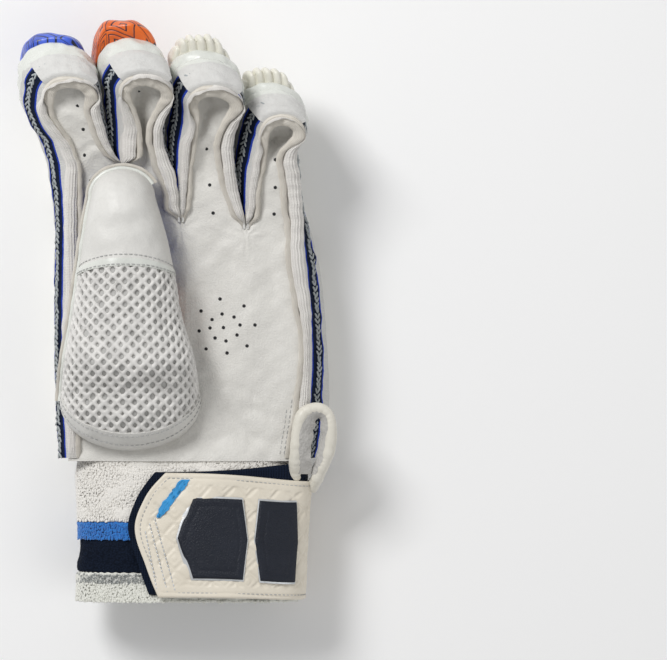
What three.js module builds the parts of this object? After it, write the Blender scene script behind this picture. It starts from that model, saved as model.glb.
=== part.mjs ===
// A left-hand cricket batting glove, lying on its padded back with the palm up.
// x runs across the palm from the thumb side to the little finger, y from the wrist to the
// fingertips and z up from the floor, in millimetres. Pieces are worked out flat, as leather
// is cut, and the fingers are then curled up over the knuckle line by curl().
import * as THREE from "three";

// Driving dimensions
const seamGap = 0.3; // clearance between neighbouring pieces
const curlGap = 1.4; // clearance under sheets that are curled in flat facets
const leather = 1.5; // palm and thumb leather
const knit = 1.6; // knitted side tape
const backSheet = 2; // back of the hand
const rollDepth = 14; // padded rolls under the back
const handDepth = 22; // free depth for the hand
const palmWidth = 120; // across the palm, edge strips included
const wristY = 73.5; // lower edge of the palm leather
const fingerWidth = 28; // across one finger, edge strips included
const archRise = 0.42; // height of a finger's round end, as a share of its width
const archStrip = 6; // width of the edge strip over the round end
const backSpread = 3; // the back is this much wider than the palm on each side
const curlRadius = 110; // of the curled fingers, at the palm side
const kneeY = 190; // where the curl starts, at x = 0
const kneeSlope = -0.13; // the knuckle line falls towards the little finger
const sideLean = 0.3; // how far the finger backs lean to the thumb side, per mm of depth
const blendLength = 7; // over which a finger's edge runs into its web
const webApart = 0.3; // half the clearance between two fingers at a web
const weltThick = 2.6; // ribbed edge strip
const weltTip = 1.4; // its width at a web
const bandLow = 17.2; // white fingertip band, lower and upper edge above the floor side
const bandHigh = 26.5;
const tabHigh = 36.6; // upper edge of the leather tab over a fingertip

// Numbers of steps that the surfaces are drawn with
const handColumns = 6; // across a finger, and round its end
const palmRows = 8;
const backRows = 4;
const fingerRows = 6;
const kneeRow = 0.75; // share of the palm's rows that end at the knuckle line
const gussetRows = 2;
const cuffSteps = 20;

const backLow = rollDepth + seamGap;
const backTop = backLow + backSheet;
const palmLow = backTop + handDepth;
const palmTop = palmLow + leather;
const gussetLow = backTop + curlGap;
const gussetHigh = palmLow - curlGap;
const archLength = archRise * fingerWidth;

const clamp01 = (t) => Math.min(1, Math.max(0, t));
const lerp = (a, b, t) => a + (b - a) * t;
const smooth = (t) => clamp01(t) ** 2 * (3 - 2 * clamp01(t));
const bump = (t) => Math.max(0, 1 - t * t) ** 2;
const swell = (t) => Math.sqrt(Math.max(0, 1 - t * t));
const across = (u) => (1 - Math.cos(Math.PI * u)) / 2;

// A named column of a table at a share of the way along, by a cubic through its rows.
function column(rows, name, along) {
  const t = Math.min(rows.at(-1).along, Math.max(rows[0].along, along));
  let i = 0;
  while (i < rows.length - 2 && rows[i + 1].along < t) i++;
  const slope = (k) => {
    const a = rows[Math.max(0, k - 1)];
    const b = rows[Math.min(rows.length - 1, k + 1)];
    return (b[name] - a[name]) / (b.along - a.along);
  };
  const span = rows[i + 1].along - rows[i].along;
  const s = (t - rows[i].along) / span;
  return (
    rows[i][name] * (2 * s ** 3 - 3 * s ** 2 + 1) +
    slope(i) * span * (s ** 3 - 2 * s ** 2 + s) +
    rows[i + 1][name] * (3 * s ** 2 - 2 * s ** 3) +
    slope(i + 1) * span * (s ** 3 - s ** 2)
  );
}

// Closed solids from grids of points

// Triangles are turned to face out, from the sign of the volume that they close.
function solid(points, triangles) {
  const volume = triangles.reduce((sum, [a, b, c]) => {
    const normal = new THREE.Vector3().crossVectors(points[b], points[c]);
    return sum + points[a].dot(normal);
  }, 0);
  const index = triangles.flatMap(([a, b, c]) => (volume < 0 ? [a, c, b] : [a, b, c]));
  const made = new THREE.BufferGeometry().setFromPoints(points).setIndex(index);
  made.computeVertexNormals();
  return made;
}

// A closed body between two surfaces with the same quads, walled round their free edges.
function between(top, bottom, quads) {
  const points = [...top, ...bottom];
  const n = top.length;
  const triangles = [];
  const edges = new Map();
  for (const [a, b, c, d] of quads) {
    triangles.push([a, b, c], [a, c, d], [n + a, n + c, n + b], [n + a, n + d, n + c]);
    for (const [p, q] of [[a, b], [b, c], [c, d], [d, a]])
      if (!edges.delete(`${q} ${p}`)) edges.set(`${p} ${q}`, [p, q]);
  }
  for (const [p, q] of edges.values()) triangles.push([q, p, n + p], [q, n + p, n + q]);
  return solid(points, triangles);
}

// Points and quads of surface(u, v) on a grid, both from 0 to 1; skip(u, v) leaves quads out.
function grid(columns, rows, surface, skip = () => false) {
  const points = [];
  const quads = [];
  for (let j = 0; j <= rows; j++)
    for (let i = 0; i <= columns; i++) points.push(surface(i / columns, j / rows));
  for (let j = 0; j < rows; j++)
    for (let i = 0; i < columns; i++) {
      const a = j * (columns + 1) + i;
      if (!skip((i + 0.5) / columns, (j + 0.5) / rows))
        quads.push([a, a + 1, a + columns + 2, a + columns + 1]);
    }
  return { points, quads };
}

// Joins grids into one surface by merging the points that coincide.
function weld(patches) {
  const points = [];
  const quads = [];
  const found = new Map();
  for (const patch of patches) {
    const index = patch.points.map((p) => {
      const key = p.toArray().map((c) => Math.round(c * 1000)).join(" ");
      if (!found.has(key)) found.set(key, points.push(p) - 1);
      return found.get(key);
    });
    quads.push(...patch.quads.map((quad) => quad.map((k) => index[k])));
  }
  return drop({ points, quads });
}

// Leaves out the points that no quad uses.
function drop({ points, quads }) {
  const used = [...new Set(quads.flat())].sort((a, b) => a - b);
  const place = new Map(used.map((k, i) => [k, i]));
  return { points: used.map((k) => points[k]), quads: quads.map((q) => q.map((k) => place.get(k))) };
}

// A surface moved along its own normals by a distance; the normals follow the quads' turn.
function moved({ points, quads }, distance) {
  const normals = points.map(() => new THREE.Vector3());
  for (const quad of quads) {
    const [a, b, c, d] = quad.map((k) => points[k]);
    const n = new THREE.Vector3().subVectors(c, a).cross(new THREE.Vector3().subVectors(d, b));
    for (const k of quad) normals[k].add(n);
  }
  return points.map((p, k) => p.clone().addScaledVector(normals[k].normalize(), distance));
}

// A sheet of even thickness behind a surface.
const sheet = (surface, thickness) =>
  between(surface.points, moved(surface, -thickness), surface.quads);

// A closed body from rings of points carried along a path; closed joins the last to the first.
function sweep(rings, closed = false) {
  const count = rings[0].length;
  const points = rings.flat();
  const triangles = [];
  const steps = closed ? rings.length : rings.length - 1;
  for (let i = 0; i < steps; i++)
    for (let k = 0; k < count; k++) {
      const a = i * count + k;
      const b = i * count + ((k + 1) % count);
      const next = ((i + 1) % rings.length) * count - i * count;
      triangles.push([a, b, b + next], [a, b + next, a + next]);
    }
  if (!closed) {
    const last = (rings.length - 1) * count;
    for (let k = 1; k < count - 1; k++)
      triangles.push([0, k + 1, k], [last, last + k, last + k + 1]);
  }
  return solid(points, triangles);
}

// The curl: places a point of the flat pattern at height h. Past the knuckle line it turns
// up round curlRadius, and the finger backs lean towards the thumb side.
function curl(x, y, h) {
  const knee = kneeY + kneeSlope * x;
  const angle = Math.max(0, y - knee) / curlRadius;
  const rise = h - palmTop;
  const lean = sideLean * smooth((y - knee + 10) / 45);
  return new THREE.Vector3(
    x + lean * rise,
    Math.min(y, knee) + (curlRadius - rise) * Math.sin(angle),
    palmTop + curlRadius * (1 - Math.cos(angle)) + rise * Math.cos(angle),
  );
}

// Sides of the palm up from the wrist, as shares of half the palm's width: inner is the seam
// between leather and edge strip, outer the strip's outside, back the edge on the floor side.
const thumbSide = [
  { along: 0, inner: -0.79, outer: -0.89, back: -0.94 },
  { along: 0.25, inner: -0.79, outer: -0.92, back: -0.97 },
  { along: 0.55, inner: -0.78, outer: -0.92, back: -0.98 },
  { along: 0.8, inner: -0.77, outer: -0.91, back: -0.98 },
  { along: 1, inner: -0.79, outer: -0.928, back: -0.978 },
];
const littleSide = [
  { along: 0, inner: 0.93, outer: 1.06, back: 1.24 },
  { along: 0.25, inner: 1, outer: 1.12, back: 1.28 },
  { along: 0.5, inner: 1.04, outer: 1.14, back: 1.26 },
  { along: 0.75, inner: 0.965, outer: 1.11, back: 1.22 },
  { along: 1, inner: 0.925, outer: 1.065, back: 1.14 },
];

// Webs, the lowest points between two fingers, and the fingers' axes from root to end, all in
// the flat pattern. A finger's edges are shares of fingerWidth from its axis.
const webs = [
  { x: -56, y: 218.5, side: thumbSide },
  { x: -27, y: 218.5 },
  { x: 3, y: 191.5 },
  { x: 35.5, y: 188 },
  { x: 64, y: 188, side: littleSide },
];
const fingers = [
  {
    name: "index", rootX: -41.4, rootY: 218.5, endX: -51.5, endY: 268,
    edges: [
      { along: 0, outerLeft: -0.51, innerLeft: -0.22, innerRight: 0.36, outerRight: 0.51 },
      { along: 0.26, outerLeft: -0.53, innerLeft: -0.25, innerRight: 0.18, outerRight: 0.4 },
      { along: 0.44, outerLeft: -0.66, innerLeft: -0.4, innerRight: 0.13, outerRight: 0.38 },
      { along: 0.6, outerLeft: -0.69, innerLeft: -0.47, innerRight: 0.13, outerRight: 0.38 },
      { along: 0.77, outerLeft: -0.6, innerLeft: -0.4, innerRight: 0.22, outerRight: 0.42 },
    ],
  },
  {
    name: "middle", rootX: -12, rootY: 205, endX: -12, endY: 271,
    edges: [
      { along: 0, outerLeft: -0.53, innerLeft: -0.25, innerRight: 0.25, outerRight: 0.51 },
      { along: 0.19, outerLeft: -0.52, innerLeft: -0.22, innerRight: 0.07, outerRight: 0.4 },
      { along: 0.37, outerLeft: -0.52, innerLeft: -0.2, innerRight: -0.04, outerRight: 0.23 },
      { along: 0.53, outerLeft: -0.52, innerLeft: -0.2, innerRight: -0.02, outerRight: 0.22 },
      { along: 0.66, outerLeft: -0.53, innerLeft: -0.28, innerRight: 0.08, outerRight: 0.32 },
      { along: 0.8, outerLeft: -0.54, innerLeft: -0.34, innerRight: 0.2, outerRight: 0.4 },
    ],
  },
  {
    name: "ring", rootX: 19.2, rootY: 189.8, endX: 20.2, endY: 264.5,
    edges: [
      { along: 0, outerLeft: -0.58, innerLeft: -0.44, innerRight: 0.4, outerRight: 0.57 },
      { along: 0.2, outerLeft: -0.59, innerLeft: -0.43, innerRight: 0.18, outerRight: 0.46 },
      { along: 0.4, outerLeft: -0.59, innerLeft: -0.38, innerRight: 0.06, outerRight: 0.34 },
      { along: 0.55, outerLeft: -0.56, innerLeft: -0.34, innerRight: 0.03, outerRight: 0.32 },
      { along: 0.69, outerLeft: -0.49, innerLeft: -0.3, innerRight: 0.14, outerRight: 0.4 },
      { along: 0.83, outerLeft: -0.49, innerLeft: -0.31, innerRight: 0.3, outerRight: 0.51 },
    ],
  },
  {
    name: "little", rootX: 49, rootY: 188, endX: 55.5, endY: 248,
    edges: [
      { along: 0, outerLeft: -0.48, innerLeft: -0.3, innerRight: 0.23, outerRight: 0.53 },
      { along: 0.23, outerLeft: -0.5, innerLeft: -0.3, innerRight: 0.11, outerRight: 0.42 },
      { along: 0.43, outerLeft: -0.52, innerLeft: -0.31, innerRight: 0.02, outerRight: 0.35 },
      { along: 0.63, outerLeft: -0.48, innerLeft: -0.29, innerRight: -0.02, outerRight: 0.28 },
      { along: 0.8, outerLeft: -0.42, innerLeft: -0.24, innerRight: 0.2, outerRight: 0.4 },
    ],
  },
];
fingers.forEach((finger, order) =>
  Object.assign(finger, { order, left: webs[order], right: webs[order + 1] }));

// Folds of the palm leather. Places and lengths along a finger are shares of its length, those
// across are shares of fingerWidth, and depth is a share of handDepth.
const folds = [
  { finger: 0, along: 0.8, across: -0.1, length: 0.25, width: 0.4, depth: 0.14 },
  { finger: 1, along: 0.58, across: -0.13, length: 0.36, width: 0.26, depth: 0.3 },
  { finger: 1, along: 0.2, across: -0.08, length: 0.26, width: 0.3, depth: 0.12 },
  { finger: 2, along: 0.75, across: -0.06, length: 0.2, width: 0.34, depth: 0.24 },
  { finger: 2, along: 0.4, across: -0.12, length: 0.26, width: 0.26, depth: 0.12 },
  { finger: 3, along: 0.72, across: -0.06, length: 0.2, width: 0.3, depth: 0.2 },
];
const thumbHollow = { x: -24, y: 164, halfWidth: 31, halfLength: 66, depth: 0.42 };
// The thumb's opening in the palm leather, in shares of the palm's length and of a finger.
const thumbHole = { from: 0.12, to: 0.37, inFromLeft: 0.3, inFromRight: 0.68 };

// Fingers

const alongOf = (finger, y) => (y - finger.rootY) / (finger.endY - finger.rootY);
const axisOf = (finger, y) => lerp(finger.rootX, finger.endX, alongOf(finger, y));
const archY = (finger) => finger.endY - archLength;
const roundEnd = (finger, u) => archY(finger) + archLength * Math.sin(Math.PI * u);
const sideX = (web, kind, along) => (column(web.side, kind, along) * palmWidth) / 2;
const webX = (web, kind) => (web.side ? sideX(web, kind, 1) : web.x);

// x of an edge at a flat y. kind is inner, outer or back; apart keeps neighbouring fingers
// clear of each other at a web.
function edgeX(finger, kind, side, y, apart) {
  const sign = side === "Left" ? -1 : 1;
  const web = side === "Left" ? finger.left : finger.right;
  if (web.side && y <= web.y) return sideX(web, kind, (y - wristY) / (web.y - wristY));
  const free = (of, name) =>
    axisOf(of, y) + fingerWidth * column(of.edges, name, alongOf(of, Math.max(y, web.y)));
  const inset = web.side ? 0 : apart + (kind === "inner" ? weltTip : 0);
  const start = webX(web, kind === "inner" ? "inner" : "outer") - sign * inset;
  const name = (kind === "inner" ? "inner" : "outer") + side;
  const edge = lerp(start, free(finger, name), smooth((y - web.y) / blendLength));
  if (kind !== "back") return edge;
  const beside = fingers[finger.order + sign];
  if (!beside) return edge + sign * backSpread;
  const room = sign * (free(beside, side === "Left" ? "outerRight" : "outerLeft") - edge);
  return edge + sign * Math.min(backSpread * smooth((y - web.y) / 12), Math.max(0, room / 2 - 3.2));
}

function fingerX(finger, kind, u, y, apart = 0) {
  const low = Math.min(y, archY(finger));
  const left = edgeX(finger, kind, "Left", low, apart);
  return lerp(left, edgeX(finger, kind, "Right", low, apart), across(u));
}

// Height of the palm leather's outside, with its folds and the hollow under the thumb.
function palmHeight(x, y) {
  const { depth, halfLength, halfWidth } = thumbHollow;
  let share = depth * bump((y - thumbHollow.y) / halfLength) * bump((x - thumbHollow.x) / halfWidth);
  for (const fold of folds) {
    const finger = fingers[fold.finger];
    const along = (alongOf(finger, y) - fold.along) / fold.length;
    const beside = (x - axisOf(finger, y)) / fingerWidth - fold.across;
    share += fold.depth * bump(along) * bump(beside / fold.width);
  }
  return palmTop - share * handDepth;
}

// Root line of a finger between its two webs, and a point of the palm below it.
function rootPoint(finger, kind, u) {
  return {
    x: lerp(webX(finger.left, kind), webX(finger.right, kind), across(u)),
    y: lerp(finger.left.y, finger.right.y, across(u)),
  };
}

function palmPoint(finger, kind, u, v) {
  const root = rootPoint(finger, kind, u);
  const first = webX(webs[0], kind);
  const share = (root.x - first) / (webX(webs[4], kind) - first);
  const along = palmShare(root, v);
  return {
    x: lerp(sideX(webs[0], kind, along), sideX(webs[4], kind, along), share),
    y: lerp(wristY, root.y, along),
  };
}

// Spreads the palm's rows so that one of them lies on the knuckle line.
function palmShare(root, v) {
  const knee = (kneeY + kneeSlope * root.x - wristY) / (root.y - wristY);
  return v < kneeRow ? (v / kneeRow) * knee : lerp(knee, 1, (v - kneeRow) / (1 - kneeRow));
}

function fingerPoint(finger, kind, u, v) {
  const root = rootPoint(finger, kind, u);
  const y = lerp(root.y, roundEnd(finger, u), v);
  return { x: v === 0 ? root.x : fingerX(finger, kind, u, y), y };
}

// The whole hand in one surface: a palm patch and a strip for each finger.
function handSurface(kind, rows, height, skip) {
  const place = ({ x, y }) => curl(x, y, height(x, y));
  return weld(
    fingers.flatMap((finger) => [
      grid(handColumns, rows.palm, (u, v) => place(palmPoint(finger, kind, u, v)),
        (u, v) => skip(finger, u, v)),
      grid(handColumns, rows.finger, (u, v) => place(fingerPoint(finger, kind, u, v))),
    ]),
  );
}

// The outline of a finger, up its left side, round the end and down the right. The index and
// little fingers go on down the side of the palm.
function outline(finger, kind) {
  const points = [];
  const end = archY(finger);
  const add = (side, y) => points.push({ x: edgeX(finger, kind, side, y, webApart), y });
  const down = (web, v) => lerp(wristY, web.y, palmShare({ x: webX(web, kind), y: web.y }, v));
  if (finger.left.side)
    for (let i = 0; i < palmRows; i++) add("Left", down(finger.left, i / palmRows));
  for (let i = 0; i < fingerRows; i++) add("Left", lerp(finger.left.y, end, i / fingerRows));
  for (let i = 0; i <= handColumns; i++) {
    const u = i / handColumns;
    const strip = kind === "inner" ? archStrip * Math.sin(Math.PI * u) : 0;
    points.push({ x: fingerX(finger, kind, u, end, webApart), y: roundEnd(finger, u) - strip });
  }
  for (let i = 1; i <= fingerRows; i++) add("Right", lerp(end, finger.right.y, i / fingerRows));
  if (finger.right.side)
    for (let i = 1; i <= palmRows; i++) add("Right", down(finger.right, 1 - i / palmRows));
  return points;
}

// The outline at height h between the back and the palm.
function sideOutline(finger, h) {
  const share = clamp01((h - backTop) / handDepth);
  const outer = outline(finger, "outer");
  return outline(finger, "back").map((p, i) => ({
    x: lerp(p.x, outer[i].x, share),
    y: lerp(p.y, outer[i].y, share),
  }));
}

// Moves an outline outwards.
function offset(points, distance) {
  return points.map((p, i) => {
    const a = points[Math.max(0, i - 1)];
    const b = points[Math.min(points.length - 1, i + 1)];
    const length = Math.hypot(b.x - a.x, b.y - a.y);
    const d = distance / length;
    return { x: p.x - (b.y - a.y) * d, y: p.y + (b.x - a.x) * d };
  });
}

// A surface whose rows are lines: line(v) gives the points of a row, each with its height.
function ruled(rows, line) {
  const lines = Array.from({ length: rows + 1 }, (_, j) => line(j / rows));
  const count = lines[0].length - 1;
  const { quads } = grid(count, rows, () => 0);
  return { points: lines.flat().map((p) => curl(p.x, p.y, p.h)), quads };
}

const palmLeather = () => {
  const skip = (finger, u, v) =>
    v > thumbHole.from && v < thumbHole.to &&
    ((finger === fingers[0] && u > thumbHole.inFromLeft) ||
      (finger === fingers[1] && u < thumbHole.inFromRight));
  const rows = { palm: palmRows, finger: fingerRows };
  return sheet(handSurface("outer", rows, palmHeight, skip), leather);
};

function backPanel() {
  const rows = { palm: backRows, finger: fingerRows };
  return sheet(handSurface("back", rows, () => backTop, () => false), backSheet);
}

function binding(finger) {
  const inner = outline(finger, "inner");
  const outer = outline(finger, "outer");
  const low = palmTop + seamGap + 0.15;
  const strip = (height) =>
    ruled(2, (v) =>
      inner.map((p, k) => ({
        x: lerp(p.x, outer[k].x, v), y: lerp(p.y, outer[k].y, v), h: height(v),
      })));
  const top = strip((v) => low + weltThick * (0.65 + 0.35 * Math.sin(Math.PI * v)));
  return between(top.points, strip(() => low).points, top.quads);
}

function gusset(finger) {
  const surface = ruled(gussetRows, (v) => {
    const h = lerp(gussetLow, gussetHigh, v);
    return sideOutline(finger, h).map((p) => ({ ...p, h }));
  });
  return between(surface.points, moved(surface, knit), surface.quads);
}

// A piece wrapped round a fingertip between two heights, reaching extra steps down its
// sides; thickness(s, t) takes the share along it and up it.
function wrap(finger, { low, high, extra, clear, thickness }) {
  const first = (finger.left.side ? palmRows : 0) + fingerRows - extra;
  const steps = handColumns + 2 * extra;
  const skin = (outward) =>
    ruled(2, (t) => {
      const h = lerp(low, high, t);
      const side = sideOutline(finger, h);
      const inner = offset(side, clear);
      const outer = offset(side, clear + 3);
      return inner.slice(first, first + steps + 1).map((p, k) => {
        const share = (outward * thickness(k / steps, t)) / 3;
        const q = outer[first + k];
        return { x: lerp(p.x, q.x, share), y: lerp(p.y, q.y, share), h };
      });
    });
  const outside = skin(1);
  return between(outside.points, skin(0).points, outside.quads);
}

const tipBand = (finger) =>
  wrap(finger, {
    low: bandLow, high: bandHigh, extra: 2, clear: 0.6,
    thickness: (s, t) => 1.1 + 2.6 * Math.sin(Math.PI * s) ** 2 * (1 - 0.5 * t),
  });

const fingerTab = (finger) =>
  wrap(finger, {
    low: bandHigh + seamGap, high: tabHigh, extra: -1, clear: 0.5,
    thickness: (s, t) => 1.6 + 0.8 * (1 - t),
  });

// A padded roll under a finger: flat on top, swollen below; pleats are gathers across it.
function roll(point, { from, to, columns, rows, pleats = 0 }) {
  const place = (u, v) => point(u, lerp(from, to, v));
  const swollen = grid(columns, rows, (u, v) => {
    const { x, y } = place(u, v);
    const side = Math.min(1, 1.2 * swell(2 * across(u) - 1));
    const end = Math.min(1, 1.2 * swell(2 * v - 1));
    const gather = pleats * (1 - Math.cos(2 * Math.PI * u * (columns / 2))) * 0.5;
    return curl(x, y, (rollDepth - 3) * (1 - side * end * (1 - gather)));
  });
  const flat = grid(columns, rows, (u, v) => {
    const { x, y } = place(u, v);
    return curl(x, y, rollDepth);
  });
  return between(flat.points, swollen.points, flat.quads);
}

// A point of the back's pattern: t runs from 0 at the wrist over 1 at the root line to 2 at
// the finger's end. Rolls stop short of the finger's sides.
function backPoint(finger, u, t) {
  const inside = Math.acos(0.95 * Math.cos(Math.PI * u)) / Math.PI;
  return t <= 1 ? palmPoint(finger, "back", inside, t) : fingerPoint(finger, "back", inside, t - 1);
}

const backRoll = (finger, from, to, rows) =>
  roll((u, t) => backPoint(finger, u, t), { from, to, columns: 6, rows });

// The outermost roll turns up over the fingertip as far as the white band; pleats are the
// depth of its gathers.
function tipRoll(finger, pleats) {
  const columns = 10;
  const reach = 8.5;
  const start = lerp(finger.rootY, finger.endY, 0.7);
  const boxy = (u) => (1 - Math.abs(2 * across(u) - 1) ** 3) ** (1 / 3);
  const gather = (u) => 1 - pleats * (0.5 - 0.5 * Math.cos(Math.PI * u * columns));
  const end = (u) => archY(finger) - 3 + (archLength + 3 + reach * gather(u)) * boxy(u);
  const place = (u, y, h) => {
    const low = Math.min(y, archY(finger));
    return curl(fingerX(finger, "back", lerp(0.5, u, 0.97), low), y, h);
  };
  const depth = (u) => rollDepth * (0.3 + 0.7 * boxy(u)) * gather(u);
  const outside = grid(columns, 5, (u, v) => {
    const turn = (v * Math.PI) / 2;
    const y = lerp(start, end(u), Math.sin(turn) ** 0.8);
    const down = depth(u) * Math.max(0, Math.cos(turn)) ** 0.7 * (v === 0 ? 0.7 : 1);
    return place(u, y, rollDepth - 2.2 * (1 - v) - 0.2 - Math.max(0, down - 2.2));
  });
  const inside = grid(columns, 5, (u, v) => place(u, lerp(start, end(u) - 1, v), rollDepth));
  return between(inside.points, outside.points, inside.quads);
}

// Thumb. Left and right are shares of thumbWidth from x = thumbX, and along runs from the
// straight sides at the base to those below the tip.
const thumbX = -24;
const thumbWidth = 60;
const thumbBase = 102;
const thumbTip = 204;
const thumbBowl = 24; // the base hangs this far below its sides
const thumbCrown = 13; // the tip stands this far above them
const thumbFloor = 52; // underside of the thumb, over its guard
const thumbHeight = 21;
const thumbSeam = 0.64; // where leather meets mesh, in shares of the thumb's length
const thumbEdges = [
  { along: 0, left: -0.54, right: 0.6 },
  { along: 0.2, left: -0.5, right: 0.56 },
  { along: 0.4, left: -0.44, right: 0.46 },
  { along: 0.6, left: -0.39, right: 0.4 },
  { along: 0.8, left: -0.34, right: 0.33 },
  { along: 1, left: -0.28, right: 0.23 },
];

function thumbPlan(u, v, grow = 0) {
  const base = thumbBase - (thumbBowl + grow) * Math.sin(Math.PI * u);
  const tip = thumbTip + (thumbCrown + grow) * Math.sin(Math.PI * u);
  const y = lerp(base, tip, v);
  const along = clamp01((y - thumbBase) / (thumbTip - thumbBase));
  const left = thumbX + thumbWidth * column(thumbEdges, "left", along) - grow;
  const right = thumbX + thumbWidth * column(thumbEdges, "right", along) + grow;
  return { x: lerp(left, right, across(u)), y };
}

// The thumb's lower edge: on the palm and its edge strip at the base, and on the guard
// further up.
const thumbSeat = (x) => lerp(palmLow - 12, palmTop + 3.4, smooth((-34 - x) / 8));
function thumbLow(x, y) {
  const seat = palmTop + 0.6 + 3 * smooth((-36 - x) / 8);
  return lerp(seat, thumbFloor, smooth((y - 104) / 20));
}

function thumbTop(u, v) {
  const { x, y } = thumbPlan(u, v);
  const rise = Math.min(1, swell(Math.min(0, v / 0.3 - 1)));
  const fall = swell(Math.max(0, (v - 0.84) / 0.16));
  const height = (thumbHeight + 9 * (1 - smooth(v / 0.5))) * rise * fall;
  const dome = Math.sin(Math.PI * u) ** 0.75;
  return new THREE.Vector3(x, y, thumbLow(x, y) + height * dome);
}

function thumbPiece(from, to, rows, thickness, ease = (t) => t) {
  const surface = grid(10, rows, (u, v) => thumbTop(u, lerp(from, to, ease(v))));
  return sheet(surface, thickness);
}

const thumbUnder = (u, v, down) => {
  const start = 0.27;
  const { x, y } = thumbPlan(u, lerp(start, 1, v));
  const low = lerp(palmTop + 1, thumbFloor, smooth((y - 108) / 16));
  return new THREE.Vector3(x, y, low - seamGap - down - 1.2 * Math.sin(Math.PI * u));
};

function thumbBack() {
  const top = grid(6, 8, (u, v) => thumbUnder(u, v, 0));
  const low = grid(6, 8, (u, v) => thumbUnder(u, v, leather));
  return between(top.points, low.points, top.quads);
}

// Piping down the left of the thumb and round its tip.
function thumbPiping() {
  const radius = 1.3;
  const path = [];
  for (let i = 0; i <= 12; i++) path.push(thumbPlan(0, i / 12, radius + seamGap));
  for (let i = 1; i <= 6; i++) path.push(thumbPlan((i / 6) * 0.8, 1, radius + seamGap));
  return pipe(path.map((p) => new THREE.Vector3(p.x, p.y, thumbLow(p.x, p.y) + 0.4)), radius, 6);
}

// A round tube along a line of points.
function pipe(path, radius, sides) {
  const up = new THREE.Vector3(0, 0, 1);
  return sweep(
    path.map((p, i) => {
      const a = path[Math.max(0, i - 1)];
      const b = path[Math.min(path.length - 1, i + 1)];
      const side = new THREE.Vector3().subVectors(b, a).cross(up).normalize();
      return Array.from({ length: sides }, (_, k) => {
        const turn = (2 * Math.PI * k) / sides;
        return p.clone().addScaledVector(side, radius * Math.cos(turn))
          .addScaledVector(up, radius * Math.sin(turn));
      });
    }),
  );
}

// Guard blocks between the thumb and the palm.
function thumbGuard(from, to) {
  const clearance = 1.6;
  const upper = thumbFloor - 3.6;
  const place = (u, v) => thumbPlan(lerp(0.06, 0.8, u), lerp(from, to, v));
  const top = grid(6, 4, (u, v) => {
    const { x, y } = place(u, v);
    return new THREE.Vector3(x, y, upper);
  });
  const low = grid(6, 4, (u, v) => {
    const { x, y } = place(u, v);
    const rest = Math.max(palmHeight(x, y), thumbSeat(x)) + clearance;
    const full = Math.min(1, 1.2 * swell(2 * u - 1)) * Math.min(1, 1.3 * swell(2 * v - 1));
    return new THREE.Vector3(x, y, lerp(Math.max(rest, upper - 4), rest, full));
  });
  return between(top.points, low.points, top.quads);
}

// Cuff. An oval tube whose section leans from the palm to the wrist; turn is in shares of a
// full turn, from the thumb side over the palm side.
const cuffEnds = [
  { along: 0, left: -47, right: 58, low: 12, high: 44 },
  { along: 0.35, left: -46, right: 57, low: 11, high: 43 },
  { along: 0.7, left: -46.5, right: 57, low: 11, high: 42 },
  { along: 1, left: -47.5, right: 57, low: 12, high: 41 },
];
const cuffTop = wristY - 0.5;
const terryLow = 41.8;
const blueLow = 32.8;
const navyLow = 16.3;
const cuffLow = 1.5;

function cuffPoint(turn, y, out) {
  const along = (y - cuffLow) / (cuffTop - cuffLow);
  const part = (name) => column(cuffEnds, name, along);
  const [a, b] = [(part("right") - part("left")) / 2 + out, (part("high") - part("low")) / 2 + out];
  const angle = Math.PI - 2 * Math.PI * turn;
  const square = (t) => Math.sign(t) * Math.abs(t) ** 0.75;
  return new THREE.Vector3(
    (part("right") + part("left")) / 2 + a * square(Math.cos(angle)),
    y,
    (part("high") + part("low")) / 2 + b * square(Math.sin(angle)),
  );
}

// A closed band of the cuff between two heights.
function cuffBand(low, high, thickness, bulge) {
  const ys = [low, (low + high) / 2, high];
  const rings = [];
  for (const [k, y] of ys.entries()) rings.push([y, thickness + (k === 1 ? bulge : 0)]);
  const ring = (y, out) =>
    Array.from({ length: cuffSteps }, (_, k) => cuffPoint(k / cuffSteps, y, out));
  const outside = rings.map(([y, out]) => ring(y, out));
  const inside = rings.map(([y]) => ring(y, 0)).reverse();
  const points = [...outside, ...inside].flat();
  const triangles = [];
  const count = outside.length + inside.length;
  for (let i = 0; i < count; i++)
    for (let k = 0; k < cuffSteps; k++) {
      const next = ((i + 1) % count) * cuffSteps;
      const [a, b] = [i * cuffSteps + k, i * cuffSteps + ((k + 1) % cuffSteps)];
      const [c, d] = [next + ((k + 1) % cuffSteps), next + k];
      triangles.push([a, b, c], [a, c, d]);
    }
  return solid(points, triangles);
}

// A patch laid on the cuff, out of its surface: corners(u, v) gives turn and y.
function cuffPatch(columns, rows, place, out, thickness) {
  const at = (d) =>
    grid(columns, rows, (u, v) => {
      const { turn, y } = place(u, v);
      return cuffPoint(turn, y, d);
    });
  const outside = at(out + thickness);
  return between(outside.points, at(out).points, outside.quads);
}

// Left end of the closure strap: a point towards the thumb side, as shares of a turn.
const strapEnd = [
  { along: 0, turn: 0.224 },
  { along: 0.25, turn: 0.208 },
  { along: 0.55, turn: 0.193 },
  { along: 0.8, turn: 0.208 },
  { along: 1, turn: 0.232 },
];
const strapLow = 3;
const strapHigh = 66;

// A strap from its pointed end round the cuff: after two columns it follows the cuff's own
// facets.
const strapPlace = (shift, columns) => (u, v) => {
  const end = column(strapEnd, "turn", v) + shift;
  const i = Math.round(u * columns);
  return {
    turn: i < 2 ? lerp(end, 0.25, i / 2) : (cuffSteps / 4 + i - 2) / cuffSteps,
    y: lerp(strapLow, strapHigh, v),
  };
};
const strap = (shift, columns, out, thickness) =>
  cuffPatch(columns, 4, strapPlace(shift, columns), out, thickness);

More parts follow.
